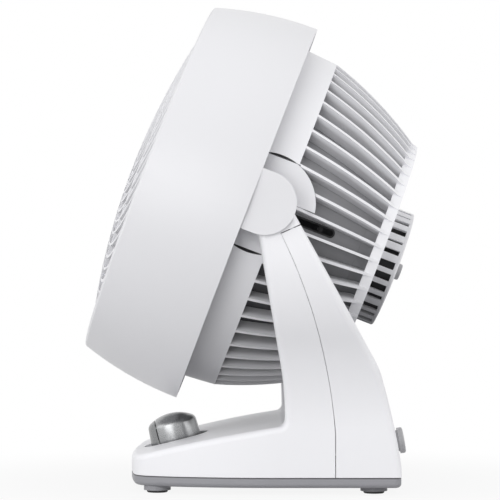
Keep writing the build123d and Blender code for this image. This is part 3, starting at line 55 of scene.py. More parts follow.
MM = 0.001  # a millimetre in Blender's metres
NODES = frame["nodes"]
ACROSS = Vector((1.0, 0.0, 0.0))  # along the tilt axis, to the side of the cable slot
BLACK, WHITE = (0.0, 0.0, 0.0, 1.0), (1.0, 1.0, 1.0, 1.0)
SHALLOW = math.radians(35)  # edges flatter than this are shaded smooth
SHARP = math.radians(50)  # edges sharper than this get a rounded lip
PLASTIC_IOR = 1.49
OBJECT_MIDDLE = Vector((0.0, -0.0099, 0.170))  # where the camera and the lamps aim


# ---------------------------------------------------------------- settings
class FinishSettings(bpy.types.PropertyGroup):
    """Colours of the plastics, paints and metals."""

    shell: bpy.props.FloatVectorProperty(
        name="Shell", description="White of the stand's mouldings", subtype="COLOR", size=3, min=0, max=1,
        default=(0.90, 0.90, 0.925))
    grille: bpy.props.FloatVectorProperty(
        name="Grilles", description="White of the ring and both grilles", subtype="COLOR", size=3, min=0, max=1,
        default=(0.85, 0.85, 0.875))
    # The duct is white plastic: Duct and the colour below it are painted shade, grey between the fins and darker grey
    # over its lower half.
    duct: bpy.props.FloatVectorProperty(
        name="Duct", description="Grey of the air duct behind the fins", subtype="COLOR", size=3, min=0, max=1,
        default=(0.37, 0.37, 0.385))
    duct_painted_shade_below: bpy.props.FloatVectorProperty(
        name="Duct below", description="Grey of the duct's lower half", subtype="COLOR", size=3, min=0, max=1,
        default=(0.065, 0.065, 0.07))
    plate: bpy.props.FloatVectorProperty(
        name="Base plate", description="Grey of the base plate", subtype="COLOR", size=3, min=0, max=1,
        default=(0.30, 0.30, 0.32))
    blades: bpy.props.FloatVectorProperty(
        name="Blades", description="Grey of the fan's blades", subtype="COLOR", size=3, min=0, max=1,
        default=(0.55, 0.55, 0.57))
    knob: bpy.props.FloatVectorProperty(
        name="Knob", description="Silver of the speed knob", subtype="COLOR", size=3, min=0, max=1,
        default=(0.34, 0.345, 0.35))
    rubber: bpy.props.FloatVectorProperty(
        name="Rubber", description="Black of feet, edging and leads", subtype="COLOR", size=3, min=0, max=1,
        default=(0.02, 0.02, 0.021))


class StudioSettings(bpy.types.PropertyGroup):
    """The camera, the floor and the light."""

    distance: bpy.props.FloatProperty(
        name="Camera distance", description="From the middle plane of the fan to the camera", unit="LENGTH",
        default=1.818, min=0.5)
    frame_width: bpy.props.FloatProperty(
        name="Width in view", description="Width that the picture takes in at the middle plane", unit="LENGTH",
        default=0.365, min=0.1)
    key_power: bpy.props.FloatProperty(
        name="Overhead softbox", description="Power of the large light over the fan", unit="POWER",
        default=1.5, min=0)
    side_power: bpy.props.FloatProperty(
        name="Side softbox", description="Power of the light beside the camera", unit="POWER", default=13.0, min=0)
    back_power: bpy.props.FloatProperty(
        name="Rear softbox", description="Power of the light behind the fan", unit="POWER", default=5.5, min=0)
    front_power: bpy.props.FloatProperty(
        name="Front softbox", description="Power of the light before the fan", unit="POWER", default=4.0, min=0)
    ambient: bpy.props.FloatProperty(
        name="Room light", description="Strength of the light from overhead; from below it is a quarter",
        default=0.74, min=0)


class KnobSettings(bpy.types.PropertyGroup):
    """Sizes of the speed knob, measured from the deck along its axis."""

    foot_radius: bpy.props.FloatProperty(
        name="Foot", description="Radius of the skirt at its foot", unit="LENGTH", default=18.6 * MM, min=0)
    top_radius: bpy.props.FloatProperty(
        name="Top", description="Radius of the skirt at its shoulder", unit="LENGTH", default=17.7 * MM, min=0)
    shoulder_height: bpy.props.FloatProperty(
        name="Shoulder", description="Height of the shoulder", unit="LENGTH", default=13.0 * MM, min=0)
    crown_height: bpy.props.FloatProperty(
        name="Crown", description="Height of the middle of the domed top", unit="LENGTH", default=18.9 * MM, min=0)
    shoulder_rounding: bpy.props.FloatProperty(
        name="Shoulder rounding", description="Width of the rounded shoulder", unit="LENGTH", default=2.2 * MM, min=0)
    groove_place: bpy.props.FloatProperty(
        name="Groove", description="The groove's place ahead of the axis", unit="LENGTH", default=-11.6 * MM)
    groove_width: bpy.props.FloatProperty(
        name="Groove width", description="Width of the groove", unit="LENGTH", default=0.8 * MM, min=0)


class HardwareSettings(bpy.types.PropertyGroup):
    """Sizes of the small hardware that the camera can come close to."""

    recess_span: bpy.props.FloatProperty(
        name="Cross recess", description="Length of each slot of the cross in a screw's head", unit="LENGTH",
        default=3.4 * MM, min=0)
    recess_width: bpy.props.FloatProperty(
        name="Recess width", description="Width of each slot of the cross", unit="LENGTH", default=0.7 * MM, min=0)
    recess_depth: bpy.props.FloatProperty(
        name="Recess depth", description="Depth of the cross", unit="LENGTH", default=1.2 * MM, min=0)
    inlet_radius: bpy.props.FloatProperty(
        name="Inlet disc", description="Radius of the inlet's disc", unit="LENGTH", default=9.45 * MM, min=0)
    inlet_edge: bpy.props.FloatProperty(
        name="Inlet rounding", description="Rounding of the disc's rim", unit="LENGTH", default=1.2 * MM, min=0)


# ---------------------------------------------------------------- shader maths
class Wire:
    """A shader socket; arithmetic on it adds Math nodes to its tree."""

    def __init__(self, recipe, socket):
        self.recipe, self.socket = recipe, socket

    def __add__(self, other):
        return self.recipe.math("ADD", self, other)

    __radd__ = __add__

    def __sub__(self, other):
        return self.recipe.math("SUBTRACT", self, other)

    def __rsub__(self, other):
        return self.recipe.math("SUBTRACT", other, self)

    def __mul__(self, other):
        return self.recipe.math("MULTIPLY", self, other)

    __rmul__ = __mul__


class Recipe:
    """The shader nodes of a new material, or of the world."""

    def __init__(self, name, owner=None):
        self.owner = owner or bpy.data.materials.new(name)
        self.owner.use_nodes = True
        self.nodes = self.owner.node_tree.nodes
        self.links = self.owner.node_tree.links
        self.nodes.clear()
        self.coordinates = self.node("ShaderNodeTexCoord")
        self.place = self.coordinates["Object"]

    def node(self, kind, settings=None, values=None):
        """Adds a node: its settings first, then the value or link of each socket. Returns its outputs as wires."""
        node = self.nodes.new(kind)
        for name, setting in (settings or {}).items():
            setattr(node, name, setting)
        for name, value in (values or {}).items():
            if isinstance(value, Wire):
                self.links.new(value.socket, node.inputs[name])
            else:
                node.inputs[name].default_value = value
        outputs = {index: Wire(self, socket) for index, socket in enumerate(node.outputs)}
        outputs.update({socket.name: outputs[index] for index, socket in enumerate(node.outputs)})
        return outputs

    def math(self, operation, *numbers):
        """A Math node."""
        return self.node("ShaderNodeMath", {"operation": operation}, dict(enumerate(numbers)))[0]

    def vector(self, operation, *vectors):
        """A Vector Math node: a number for a length or a dot product, and otherwise a vector."""
        outputs = self.node("ShaderNodeVectorMath", {"operation": operation}, dict(enumerate(vectors)))
        return outputs["Value" if operation in ("LENGTH", "DOT_PRODUCT") else "Vector"]

    def parts(self, vector):
        """The X, Y and Z of a vector."""
        outputs = self.node("ShaderNodeSeparateXYZ", None, {"Vector": vector})
        return [outputs[index] for index in range(3)]

    def ramp(self, value, low, high, to_low=0.0, to_high=1.0, **settings):
        """A number that runs from to_low to to_high as the value runs from low to high."""
        return self.node("ShaderNodeMapRange", settings, {
            "Value": value, "From Min": low, "From Max": high, "To Min": to_low, "To Max": to_high})["Result"]

    def between(self, factor, low, high):
        """A number that runs from low to high with the factor."""
        return self.ramp(factor, 0.0, 1.0, low, high)

    def noise(self, scale, detail=2.0, roughness=0.5, place=None):
        """Soft noise of about scale features per metre."""
        values = {"Vector": place or self.place, "Scale": scale, "Detail": detail, "Roughness": roughness}
        return self.node("ShaderNodeTexNoise", None, values)["Fac"]

    def tint(self, factor, low, high, blend="MIX"):
        """A colour that runs from low to high with the factor, or to the two multiplied."""
        settings = {"data_type": "RGBA", "blend_type": blend}
        return self.node("ShaderNodeMix", settings, {0: factor, 6: low, 7: high})[2]

    def drift(self, clouds, colour, share):
        """A colour that wanders by a share of itself with the clouds."""
        return self.tint(clouds, rgba(colour, 1.0 - share), rgba(colour, 1.0 + share))

    def bump(self, height, depth, strength=1.0):
        """A normal from a height, whose full range stands for a depth in metres."""
        values = {"Height": height, "Distance": depth, "Strength": strength}
        return self.node("ShaderNodeBump", None, values)["Normal"]

    def measured(self, place):
        """How far a point lies up, along and away from the axis in a place's own frame, whose axis is +Z."""
        turn = place.to_3x3()
        up_axis, axis = turn.col[1].copy(), turn.col[2].copy()
        offset = self.vector("SUBTRACT", self.place, place.to_translation())
        up, along = (self.vector("DOT_PRODUCT", offset, direction) for direction in (up_axis, axis))
        return up, along, self.vector("LENGTH", self.vector("CROSS_PRODUCT", offset, axis))

    def finish(self, values):
        """Ends the recipe in a Principled shader and returns the material."""
        shader = self.node("ShaderNodeBsdfPrincipled", None, values)["BSDF"]
        self.node("ShaderNodeOutputMaterial", None, {"Surface": shader})
        return self.owner

    def satin(self, colour, roughness, grain, grain_depth):
        """Ends the recipe as satin moulded plastic: a fine spark-eroded grain, and clouds in the gloss."""
        fine = self.noise(grain, 3.0, 0.65)
        gloss = self.noise(24.0, 3.0) * 0.7 + fine * 0.3
        return self.finish({
            "Base Color": colour, "Roughness": self.between(gloss, roughness - 0.06, roughness + 0.08),
            "IOR": PLASTIC_IOR, "Normal": self.bump(fine, grain_depth, 0.5)})


def toned(colour, level):
    """A colour made lighter or darker by a level."""
    return tuple(min(1.0, part * level) for part in colour)


def rgba(colour, level=1.0):
    """A colour of three parts as four, made lighter or darker by a level."""
    return toned(colour, level) + (1.0,)


# ---------------------------------------------------------------- finishes
def moulded_plastic(name, colour, roughness, grain=1600.0, grain_depth=0.012 * MM):
    """Satin moulded plastic with a faint drift of its colour."""
    recipe = Recipe(name)
    return recipe.satin(recipe.drift(recipe.noise(7.0, 1.0), colour, 0.03), roughness, grain, grain_depth)


def duct_plastic(name, colour, painted_low_shade, disc_colour):
    """The duct's white plastic under a painted shade, grey between the fins and darker below, with its flat pivot
    discs left white.
    """
    shade_low, shade_high = -50.7 * MM, 34.3 * MM
    disc_from, disc_full = 114.0 * MM, 114.6 * MM
    recipe = Recipe(name)
    up, _, _ = recipe.measured(joint_place("fan_spin"))
    disc = recipe.ramp(recipe.math("ABSOLUTE", recipe.parts(recipe.place)[0]), disc_from, disc_full)
    # Painted shade: the duct's grey, darker towards the bottom of the head.
    grey = recipe.tint(recipe.ramp(up, shade_low, shade_high), rgba(painted_low_shade), rgba(colour))
    clouds = recipe.tint(recipe.noise(24.0, 3.0), BLACK, WHITE)
    drifted = recipe.tint(0.06, grey, clouds, "MULTIPLY")
    return recipe.satin(recipe.tint(disc, drifted, rgba(disc_colour)), 0.44, 1300.0, 0.015 * MM)


def shell_plastic(name, colour):
    """The stand's white plastic, with the shade at the bottom of the knob's recess."""
    recess_r, lit_r = 23.9 * MM, 24.4 * MM
    shaded_height, lit_height = -2.4 * MM, -0.6 * MM
    lit_behind, shaded_behind = -17.0 * MM, -9.0 * MM
    shade_colour = (0.03, 0.03, 0.033, 1.0)
    recipe = Recipe(name)
    behind, height, radius = recipe.measured(joint_place("knob_turn"))
    inside = recipe.ramp(radius, lit_r, recess_r)
    sunk = recipe.ramp(height, lit_height, shaded_height)
    shade = inside * sunk * recipe.ramp(behind, lit_behind, shaded_behind)
    drifted = recipe.drift(recipe.noise(7.0, 1.0), colour, 0.02)
    return recipe.satin(recipe.tint(shade, drifted, shade_colour), 0.42, 1600.0, 0.012 * MM)


def plate_plastic(name, colour):
    """The base plate's grey plastic, dark along the joint under the shell."""
    line_from, line_full = 11.2 * MM, 11.7 * MM
    recipe = Recipe(name)
    joint_line = recipe.ramp(recipe.parts(recipe.place)[2], line_from, line_full)
    fine = recipe.noise(1300.0, 3.0, 0.65)
    drifted = recipe.drift(recipe.noise(9.0, 2.0), colour, 0.03)
    return recipe.finish({
        "Base Color": recipe.tint(joint_line, drifted, rgba(colour, 0.3)),
        "Roughness": recipe.between(fine, 0.42, 0.56), "IOR": PLASTIC_IOR,
        "Normal": recipe.bump(fine, 0.02 * MM, 0.6)})


def fin_plastic(name, colour, painted_low_shade, low_at=-135.0 * MM, high_at=-10.0 * MM):
    """White plastic of the head's back under painted shade: greyer from high_at down to low_at, and darker between
    the fins.
    """
    lit, shaded = 10.2 * MM, 6.5 * MM  # out from the fins' inner edges
    (front_from, front_full), (rear_from, rear_full) = FIN_SHADE
    recipe = Recipe(name)
    up, along, radius = recipe.measured(joint_place("fan_spin"))
    stops = [(part * MM for part in stop) for stop in FIN_ROOTS]
    (front_z, front_r), (bend_z, bend_r), (rear_z, rear_r) = stops
    before = recipe.ramp(along, front_z, bend_z, front_r, bend_r, clamp=False)
    behind = recipe.ramp(along, bend_z, rear_z, bend_r, rear_r, clamp=False)
    # Painted shade between the fins, darker deeper in, from behind the collar to before the band.
    depth = recipe.ramp(radius - recipe.math("MINIMUM", before, behind), lit, shaded)
    sunk = depth * recipe.ramp(along, front_from, front_full) * recipe.ramp(along, rear_from, rear_full)
    # Painted shade: greyer towards the bottom of the head.
    white = recipe.tint(recipe.ramp(up, low_at, high_at), rgba(painted_low_shade), rgba(colour))
    return recipe.satin(recipe.tint(sunk, white, rgba((0.66,) * 3), "MULTIPLY"), 0.42, 1900.0, 0.012 * MM)


def silver_paint(name, colour, metallic, roughness):
    """Satin silver paint: fine flakes that vary the gloss and the brightness."""
    recipe = Recipe(name)
    flakes = recipe.node("ShaderNodeTexVoronoi", None, {"Vector": recipe.place, "Scale": 5200.0})["Color"]
    sparkle = recipe.node("ShaderNodeSeparateColor", None, {"Color": flakes})["Red"]
    gloss = recipe.noise(60.0, 2.0) * 0.6 + sparkle * 0.4
    return recipe.finish({
        "Base Color": recipe.drift(sparkle, colour, 0.08), "Metallic": metallic,
        "Roughness": recipe.between(gloss, roughness - 0.05, roughness + 0.08),
        "Normal": recipe.bump(sparkle, 0.004 * MM, 0.4)})


def rubber(name, colour, roughness=0.7):
    """Matt rubber with a dusty bloom."""
    recipe = Recipe(name)
    bloom = recipe.noise(140.0, 4.0, 0.6)
    return recipe.finish({
        "Base Color": recipe.tint(bloom, rgba(colour, 0.8), rgba(colour, 1.7)),
        "Roughness": recipe.between(bloom, roughness - 0.1, roughness + 0.12),
        "Normal": recipe.bump(recipe.noise(2600.0, 2.0), 0.02 * MM, 0.6)})


def bright_metal(name, colour, roughness=0.28):
    """Plated or turned metal with fine tool lines and a cloudy plating."""
    recipe = Recipe(name)
    stretched = recipe.node("ShaderNodeMapping", None, {"Vector": recipe.place, "Scale": (1.0, 1.0, 6.0)})["Vector"]
    tooling = recipe.noise(900.0, 2.0, 0.6, stretched)
    clouds = recipe.noise(220.0, 3.0)
    return recipe.finish({
        "Base Color": recipe.tint(clouds, rgba(colour, 0.88), rgba(colour, 1.08)), "Metallic": 1.0,
        "Roughness": recipe.between(tooling * 0.5 + clouds * 0.5, roughness - 0.08, roughness + 0.14),
        "Normal": recipe.bump(tooling, 0.006 * MM, 0.5)})


def laminations(name, colour):
    """Stacked steel sheets, seen as thin lines across the fan's axis."""
    sheet = 0.5 * MM
    recipe = Recipe(name)
    along = recipe.vector("DOT_PRODUCT", recipe.place, Vector(joint("fan_spin")["axis"]))
    sheets = recipe.math("PINGPONG", along, sheet / 2) * (2 / sheet)
    return recipe.finish({
        "Base Color": recipe.tint(recipe.noise(180.0, 4.0), rgba(colour, 0.7), rgba(colour, 1.2)),
        "Metallic": 0.9, "Roughness": recipe.between(sheets, 0.35, 0.6),
        "Normal": recipe.bump(sheets, 0.05 * MM, 0.7)})


def copper_wire(name, colour):
    """Varnished copper wire, wound in layers."""
    wire = 0.5 * MM
    recipe = Recipe(name)
    x, y, z = recipe.parts(recipe.place)
    slanting = x + y + z + recipe.noise(90.0, 2.0) * 0.004
    turns = recipe.math("PINGPONG", slanting, wire / 2) * (2 / wire)
    return recipe.finish({
        "Base Color": recipe.tint(turns, rgba(colour, 0.35), rgba(colour, 1.1)),
        "Metallic": 0.8, "Roughness": recipe.between(turns, 0.5, 0.22),
        "Normal": recipe.bump(turns, 0.2 * MM, 0.8)})


def coated_board(name, colour):
    """Glass-fibre board under a green coat, with its weave just showing."""
    thread = 0.4 * MM
    recipe = Recipe(name)
    x, y, _ = recipe.parts(recipe.place)
    warp, weft = (recipe.math("PINGPONG", part, thread) * (1 / thread) for part in (x, y))
    cloth = warp * weft
    return recipe.finish({
        "Base Color": recipe.tint(cloth, rgba(colour, 0.8), rgba(colour, 1.35)),
        "Roughness": recipe.between(recipe.noise(70.0), 0.25, 0.4),
        "Normal": recipe.bump(cloth, 0.03 * MM, 0.4)})


def dress(material, *names):
    """Gives CAD nodes their material."""
    for name in names:
        slots = NODES[name].data.materials
        slots.clear()
        slots.append(material)


# ---------------------------------------------------------------- places
# The line of the fins' inner edges: how far along the head's axis and how far out from it, in millimetres.
FIN_ROOTS = ((-19.22, 113.97), (-55.78, 99.86), (-88.02, 81.63))
# Where the shade between the fins starts and is full, along the head's axis: behind the collar and before the band.
FIN_SHADE = ((-21.5 * MM, -23.0 * MM), (-91.6 * MM, -91.2 * MM))


def joint(name):
    """A joint of the frame by name."""
    return next(entry for entry in frame["joints"] if entry["name"] == name)


def joint_place(name):
    """From a joint's own frame, with +Z along its axis and +X across the fan, to where the joint is.

    For fan_spin, +Z runs forwards and +Y up the head; for knob_turn, +Z out of the deck and +Y to the rear.
    """
    axis = Vector(joint(name)["axis"])
    turn = Matrix((ACROSS, axis.cross(ACROSS), axis)).transposed().to_4x4()
    return Matrix.Translation(joint(name)["pos_m"]) @ turn


def inlet_place():
    """From the inlet's own frame, with +Z straight out of the back wall, to where it sits."""
    outwards = Vector((0.0, 0.984833, 0.173505))
    return Matrix.Translation((0.0, 93.544 * MM, 30.0 * MM)) @ outwards.to_track_quat("Z", "Y").to_matrix().to_4x4()


# ---------------------------------------------------------------- modelling helpers
def start_clean():
    """Nothing selected, no edit mode."""
    if bpy.context.object and bpy.context.object.mode != "OBJECT":
        bpy.ops.object.mode_set(mode="OBJECT")
    bpy.ops.object.select_all(action="DESELECT")


def select_pieces(*pieces):
    """These pieces alone are selected, the first one active."""
    start_clean()
    for piece in pieces:
        piece.select_set(True)
    bpy.context.view_layer.objects.active = pieces[0]


def named(name):
    """The new active object, with its place put into its mesh."""
    piece = bpy.context.object
    piece.name = piece.data.name = name
    bpy.ops.object.transform_apply(location=True, rotation=True, scale=True)
    return piece


def cylinder(name, place, radius, low, high, sides=96, ends="NGON"):
    """A new cylinder along the +Z of a place, from low to high, open in edit mode to be shaped further."""
    start_clean()
    middle = place @ Matrix.Translation((0.0, 0.0, (low + high) / 2))
    bpy.ops.mesh.primitive_cylinder_add(
        vertices=sides, radius=radius, depth=high - low, end_fill_type=ends,
        location=middle.to_translation(), rotation=middle.to_euler())
    piece = named(name)
    bpy.ops.object.mode_set(mode="EDIT")
    return piece


def pick(piece, wanted, kind="FACE"):
    """Of the piece in edit mode, selects only the faces, or edges, for which wanted() is true."""
    bpy.ops.mesh.select_mode(type=kind)
    bpy.ops.mesh.select_all(action="DESELECT")
    mesh = bmesh.from_edit_mesh(piece.data)
    for element in mesh.faces if kind == "FACE" else mesh.edges:
        if wanted(element):
            element.select_set(True)
    mesh.select_flush_mode()
    bmesh.update_edit_mesh(piece.data)


def at_height(place, height, beyond=0.0):
    """True for the faces or edges that lie wholly at a height along a place's +Z, and beyond a radius."""
    back = place.inverted()

    def wanted(element):
        spots = [back @ vert.co for vert in element.verts]
        return all(abs(spot.z - height) < 0.01 * MM and math.hypot(spot.x, spot.y) >= beyond for spot in spots)

    return wanted


def push(place, distance):
    """Extrudes what is selected along a place's +Z."""
    step = place.to_3x3() @ Vector((0.0, 0.0, distance))
    bpy.ops.mesh.extrude_region_move(TRANSFORM_OT_translate={"value": step})


def widen(place, height, factor):
    """Scales what is selected about a place's axis at a height."""
    bpy.ops.transform.resize(value=(factor,) * 3, center_override=place @ Vector((0.0, 0.0, height)))


def round_edges(piece, wanted, width):
    """Rounds the edges for which wanted() is true."""
    pick(piece, wanted, "EDGE")
    bpy.ops.mesh.bevel(offset=width, segments=4, affect="EDGES")


def face_outwards():
    """Turns all faces of the mesh in edit mode outwards."""
    bpy.ops.mesh.select_all(action="SELECT")
    bpy.ops.mesh.normals_make_consistent(inside=False)


def finish_mesh():
    """Turns the faces outwards, closes edit mode and smooths the shallow edges."""
    face_outwards()
    bpy.ops.object.mode_set(mode="OBJECT")
    bpy.ops.object.shade_smooth_by_angle(angle=SHALLOW)


def apply_modifier(piece, kind, **settings):
    """Adds a modifier with its settings and applies it."""
    modifier = piece.modifiers.new(kind.lower(), kind)
    for name, value in settings.items():
        setattr(modifier, name, value)
    bpy.ops.object.modifier_apply(modifier=modifier.name)


def thicken(piece, wall, lip):
    """Gives an open wall its thickness, inwards, and rounds its edges."""
    select_pieces(piece)
    apply_modifier(piece, "SOLIDIFY", thickness=wall, offset=-1.0)
    apply_modifier(piece, "BEVEL", width=lip, segments=3, limit_method="ANGLE", angle_limit=SHARP)
    bpy.ops.object.shade_smooth_by_angle(angle=SHALLOW)


def cut_away(piece, cutter):
    """Takes one closed mesh out of another."""
    select_pieces(piece)
    apply_modifier(piece, "BOOLEAN", operation="DIFFERENCE", solver="EXACT", object=cutter)
    bpy.data.objects.remove(cutter)


def copy_of(piece, name, turn):
    """A copy with its own mesh, moved by a matrix."""
    twin = piece.copy()
    twin.data = piece.data.copy()
    twin.name = twin.data.name = name
    twin.data.transform(turn)
    bpy.context.scene.collection.objects.link(twin)
    return twin


def join(*pieces):
    """Makes the pieces one, which keeps the first one's name."""
    select_pieces(*pieces)
    bpy.ops.object.join()


def fit(piece, material, body):
    """Gives a new piece its material and its body."""
    piece.data.materials.append(material)
    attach(piece, body)


# ---------------------------------------------------------------- operators
class STAND_OT_finish(bpy.types.Operator):
    """Gives the stand's mouldings, base plate, pads and inlet their finishes"""

    bl_idname = "circulator.stand"
    bl_label = "Stand"

    def execute(self, context):
        colours = context.scene.circulator_finish
        dress(shell_plastic("stand_white", colours.shell), "base_shell", "rear_cover")
        dress(plate_plastic("plate_grey", colours.plate), "base_plate")
        dress(rubber("pad_rubber", colours.rubber), "foot_pads")
        inlet_plastic = moulded_plastic("inlet_plastic", toned(colours.shell, 0.58), 0.45, 2200.0)
        self.add_inlet(inlet_plastic, context.scene.circulator_hardware)
        return {"FINISHED"}

    @staticmethod
    def add_inlet(material, hardware):
        """The inlet's disc on its shoulder, with the bore, and the neck through the wall."""
        place = inlet_place()
        seat, disc_low, disc_high, neck_end = 0.3 * MM, 5.0 * MM, 9.0 * MM, -7.5 * MM
        shoulder_r, disc_r, bore_r, neck_r = 7.8 * MM, hardware.inlet_radius, 3.4 * MM, 6.5 * MM
        inlet = cylinder("inlet_disc", place, shoulder_r, seat, disc_low, 64)
        pick(inlet, at_height(place, disc_low))
        push(place, 0.0)
        widen(place, disc_low, disc_r / shoulder_r)
        push(place, disc_high - disc_low)
        bpy.ops.mesh.inset(thickness=disc_r - bore_r)
        push(place, -disc_low)
        pick(inlet, at_height(place, seat))
        bpy.ops.mesh.inset(thickness=shoulder_r - neck_r)
        push(place, neck_end - seat)
        round_edges(inlet, at_height(place, disc_high, disc_r - 0.1 * MM), hardware.inlet_edge)
        finish_mesh()
        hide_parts("cord_inlet")
        fit(inlet, material, "base")


class HEAD_OT_finish(bpy.types.Operator):
    """Gives the ring, both grilles, the duct and the motor cover their finishes"""

    bl_idname = "circulator.head"
    bl_label = "Head"

    def execute(self, context):
        colours = context.scene.circulator_finish
        # The ring's white is the grilles' toned down to 0.90, a painted shade that evens out the light on the ring.
        dress(moulded_plastic("ring_plastic", toned(colours.grille, 0.90), 0.36), "front_ring")
        dress(moulded_plastic("grille_plastic", colours.grille, 0.42, 1900.0), "front_grille")
        # The rear grille's white is raised to 1.04 of the grilles' as painted light on the collar under the ring; its
        # grey below is painted shade.
        dress(fin_plastic("fin_plastic", toned(colours.grille, 1.04), (0.46, 0.46, 0.475)), "rear_grille")
        dress(moulded_plastic("cap_plastic", (0.40, 0.40, 0.415), 0.45, 1900.0), "motor_cap")
        # The motor cover's grey over its lower half is painted shade.
        self.add_motor_cover(fin_plastic("cover_plastic", colours.grille, (0.24, 0.24, 0.25), -42.0 * MM, 0.0))
        # The duct's greys are painted shade on its white plastic; the discs keep the grilles' white.
        wall = duct_plastic("duct_plastic", colours.duct, colours.duct_painted_shade_below, colours.grille)
        dress(wall, "duct")
        dress(rubber("edging_rubber", colours.rubber), "cable_grommet")
        self.add_duct_tail(wall)
        # The sleeve's near-black is painted shade behind the motor cover's slots.
        self.add_cover_sleeve(moulded_plastic("sleeve_painted_shade", (0.035, 0.035, 0.037), 0.5, 1800.0))
        return {"FINISHED"}

    @staticmethod
    def add_duct_tail(material):
        """The last stretch of the duct's wall, which runs back to just before the ribs of the rear face."""
        place = joint_place("fan_spin")
        front_z, bend_z, rear_z = -82.05 * MM, -88.0 * MM, -91.5 * MM
        front_r, rear_r = 84.9 * MM, 81.1 * MM
        tail = cylinder("duct_tail", place, rear_r, rear_z, bend_z, 160, "NOTHING")
        pick(tail, at_height(place, bend_z), "EDGE")
        push(place, front_z - bend_z)
        widen(place, front_z, front_r / rear_r)
        finish_mesh()
        thicken(tail, 2.0 * MM, 0.4 * MM)
        fit(tail, material, "head")

    @staticmethod
    def add_motor_cover(material):
        """The slotted cup over the back of the motor, with square-ended slots all round and a domed end."""
        place = joint_place("fan_spin")
        back = place.inverted()
        front, slot_front, slot_rear, edge = -98.75 * MM, -100.0 * MM, -112.0 * MM, -113.7 * MM
        radius, slots, faces_a_slot, open_faces = 43.0 * MM, 30, 5, 2
        dome = ((42.4, -114.3), (38.0, -114.9), (28.0, -115.7), (16.0, -116.1), (5.0, -116.2))
        cover = cylinder("motor_cover_cup", place, radius, slot_front, front, slots * faces_a_slot, "NOTHING")
        pick(cover, at_height(place, slot_front), "EDGE")
        push(place, slot_rear - slot_front)
        push(place, edge - slot_rear)
        reached_r, reached_z = radius, edge
        for next_r, next_z in ((r * MM, z * MM) for r, z in dome):
            push(place, next_z - reached_z)
            widen(place, next_z, next_r / reached_r)
            reached_r, reached_z = next_r, next_z
        bpy.ops.mesh.edge_face_add()
        slot_turn = 2 * math.pi / slots

        def in_slot(face):
            middle = back @ face.calc_center_median()
            turn = math.atan2(middle.y, middle.x) % slot_turn
            return slot_rear < middle.z < slot_front and turn < slot_turn * open_faces / faces_a_slot

        pick(cover, in_slot)
        bpy.ops.mesh.delete(type="FACE")
        finish_mesh()
        thicken(cover, 2.2 * MM, 0.25 * MM)
        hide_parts("motor_cover")
        fit(cover, material, "head")

    @staticmethod
    def add_cover_sleeve(material):
        """The sleeve behind the motor cover's slots, flared a little where it meets the cover's end; its near-black
        is painted shade seen through the slots.
        """
        place = joint_place("fan_spin")
        rear_z, flare_z, front_z = -113.6 * MM, -112.0 * MM, -98.9 * MM
        radius, flare = 36.0 * MM, 1.03
        sleeve = cylinder("cover_sleeve", place, radius, flare_z, front_z, 96, "NOTHING")
        pick(sleeve, at_height(place, flare_z), "EDGE")
        push(place, rear_z - flare_z)
        widen(place, rear_z, flare)
        finish_mesh()
        thicken(sleeve, 1.1 * MM, 0.25 * MM)
        fit(sleeve, material, "head")


class PIVOT_OT_finish(bpy.types.Operator):
    """Gives the tilt joint's pins, bushes and washers their finishes"""

    bl_idname = "circulator.pivots"
    bl_label = "Tilt joint"

    def execute(self, context):
        dress(bright_metal("pin_steel", (0.56, 0.56, 0.57)), "pivot_pin_left", "pivot_pin_right")
        washer = moulded_plastic("washer_plastic", (0.8, 0.79, 0.74), 0.5, 2500.0)
        dress(washer, "inner_washers", "outer_washers", "arm_bush_left", "arm_bush_right")
        return {"FINISHED"}


class FAN_OT_finish(bpy.types.Operator):
    """Gives the blades, the nut, the shaft and the motor their finishes"""

    bl_idname = "circulator.fan"
    bl_label = "Fan and motor"

    def execute(self, context):
        colours = context.scene.circulator_finish
        dress(moulded_plastic("blade_plastic", colours.blades, 0.3, 1500.0, 0.006 * MM), "impeller", "fan_nut")
        dress(bright_metal("shaft_steel", (0.55, 0.55, 0.56), 0.2), "motor_shaft", "rotor")
        dress(bright_metal("bearing_bronze", (0.55, 0.38, 0.16), 0.35), "rear_bearing", "front_bearing")
        dress(silver_paint("housing_paint", (0.05, 0.05, 0.052), 0.3, 0.45), "rear_housing", "front_housing")
        dress(laminations("stator_sheets", (0.3, 0.3, 0.31)), "stator")
        dress(copper_wire("winding_copper", (0.68, 0.28, 0.1)), "windings")
        return {"FINISHED"}


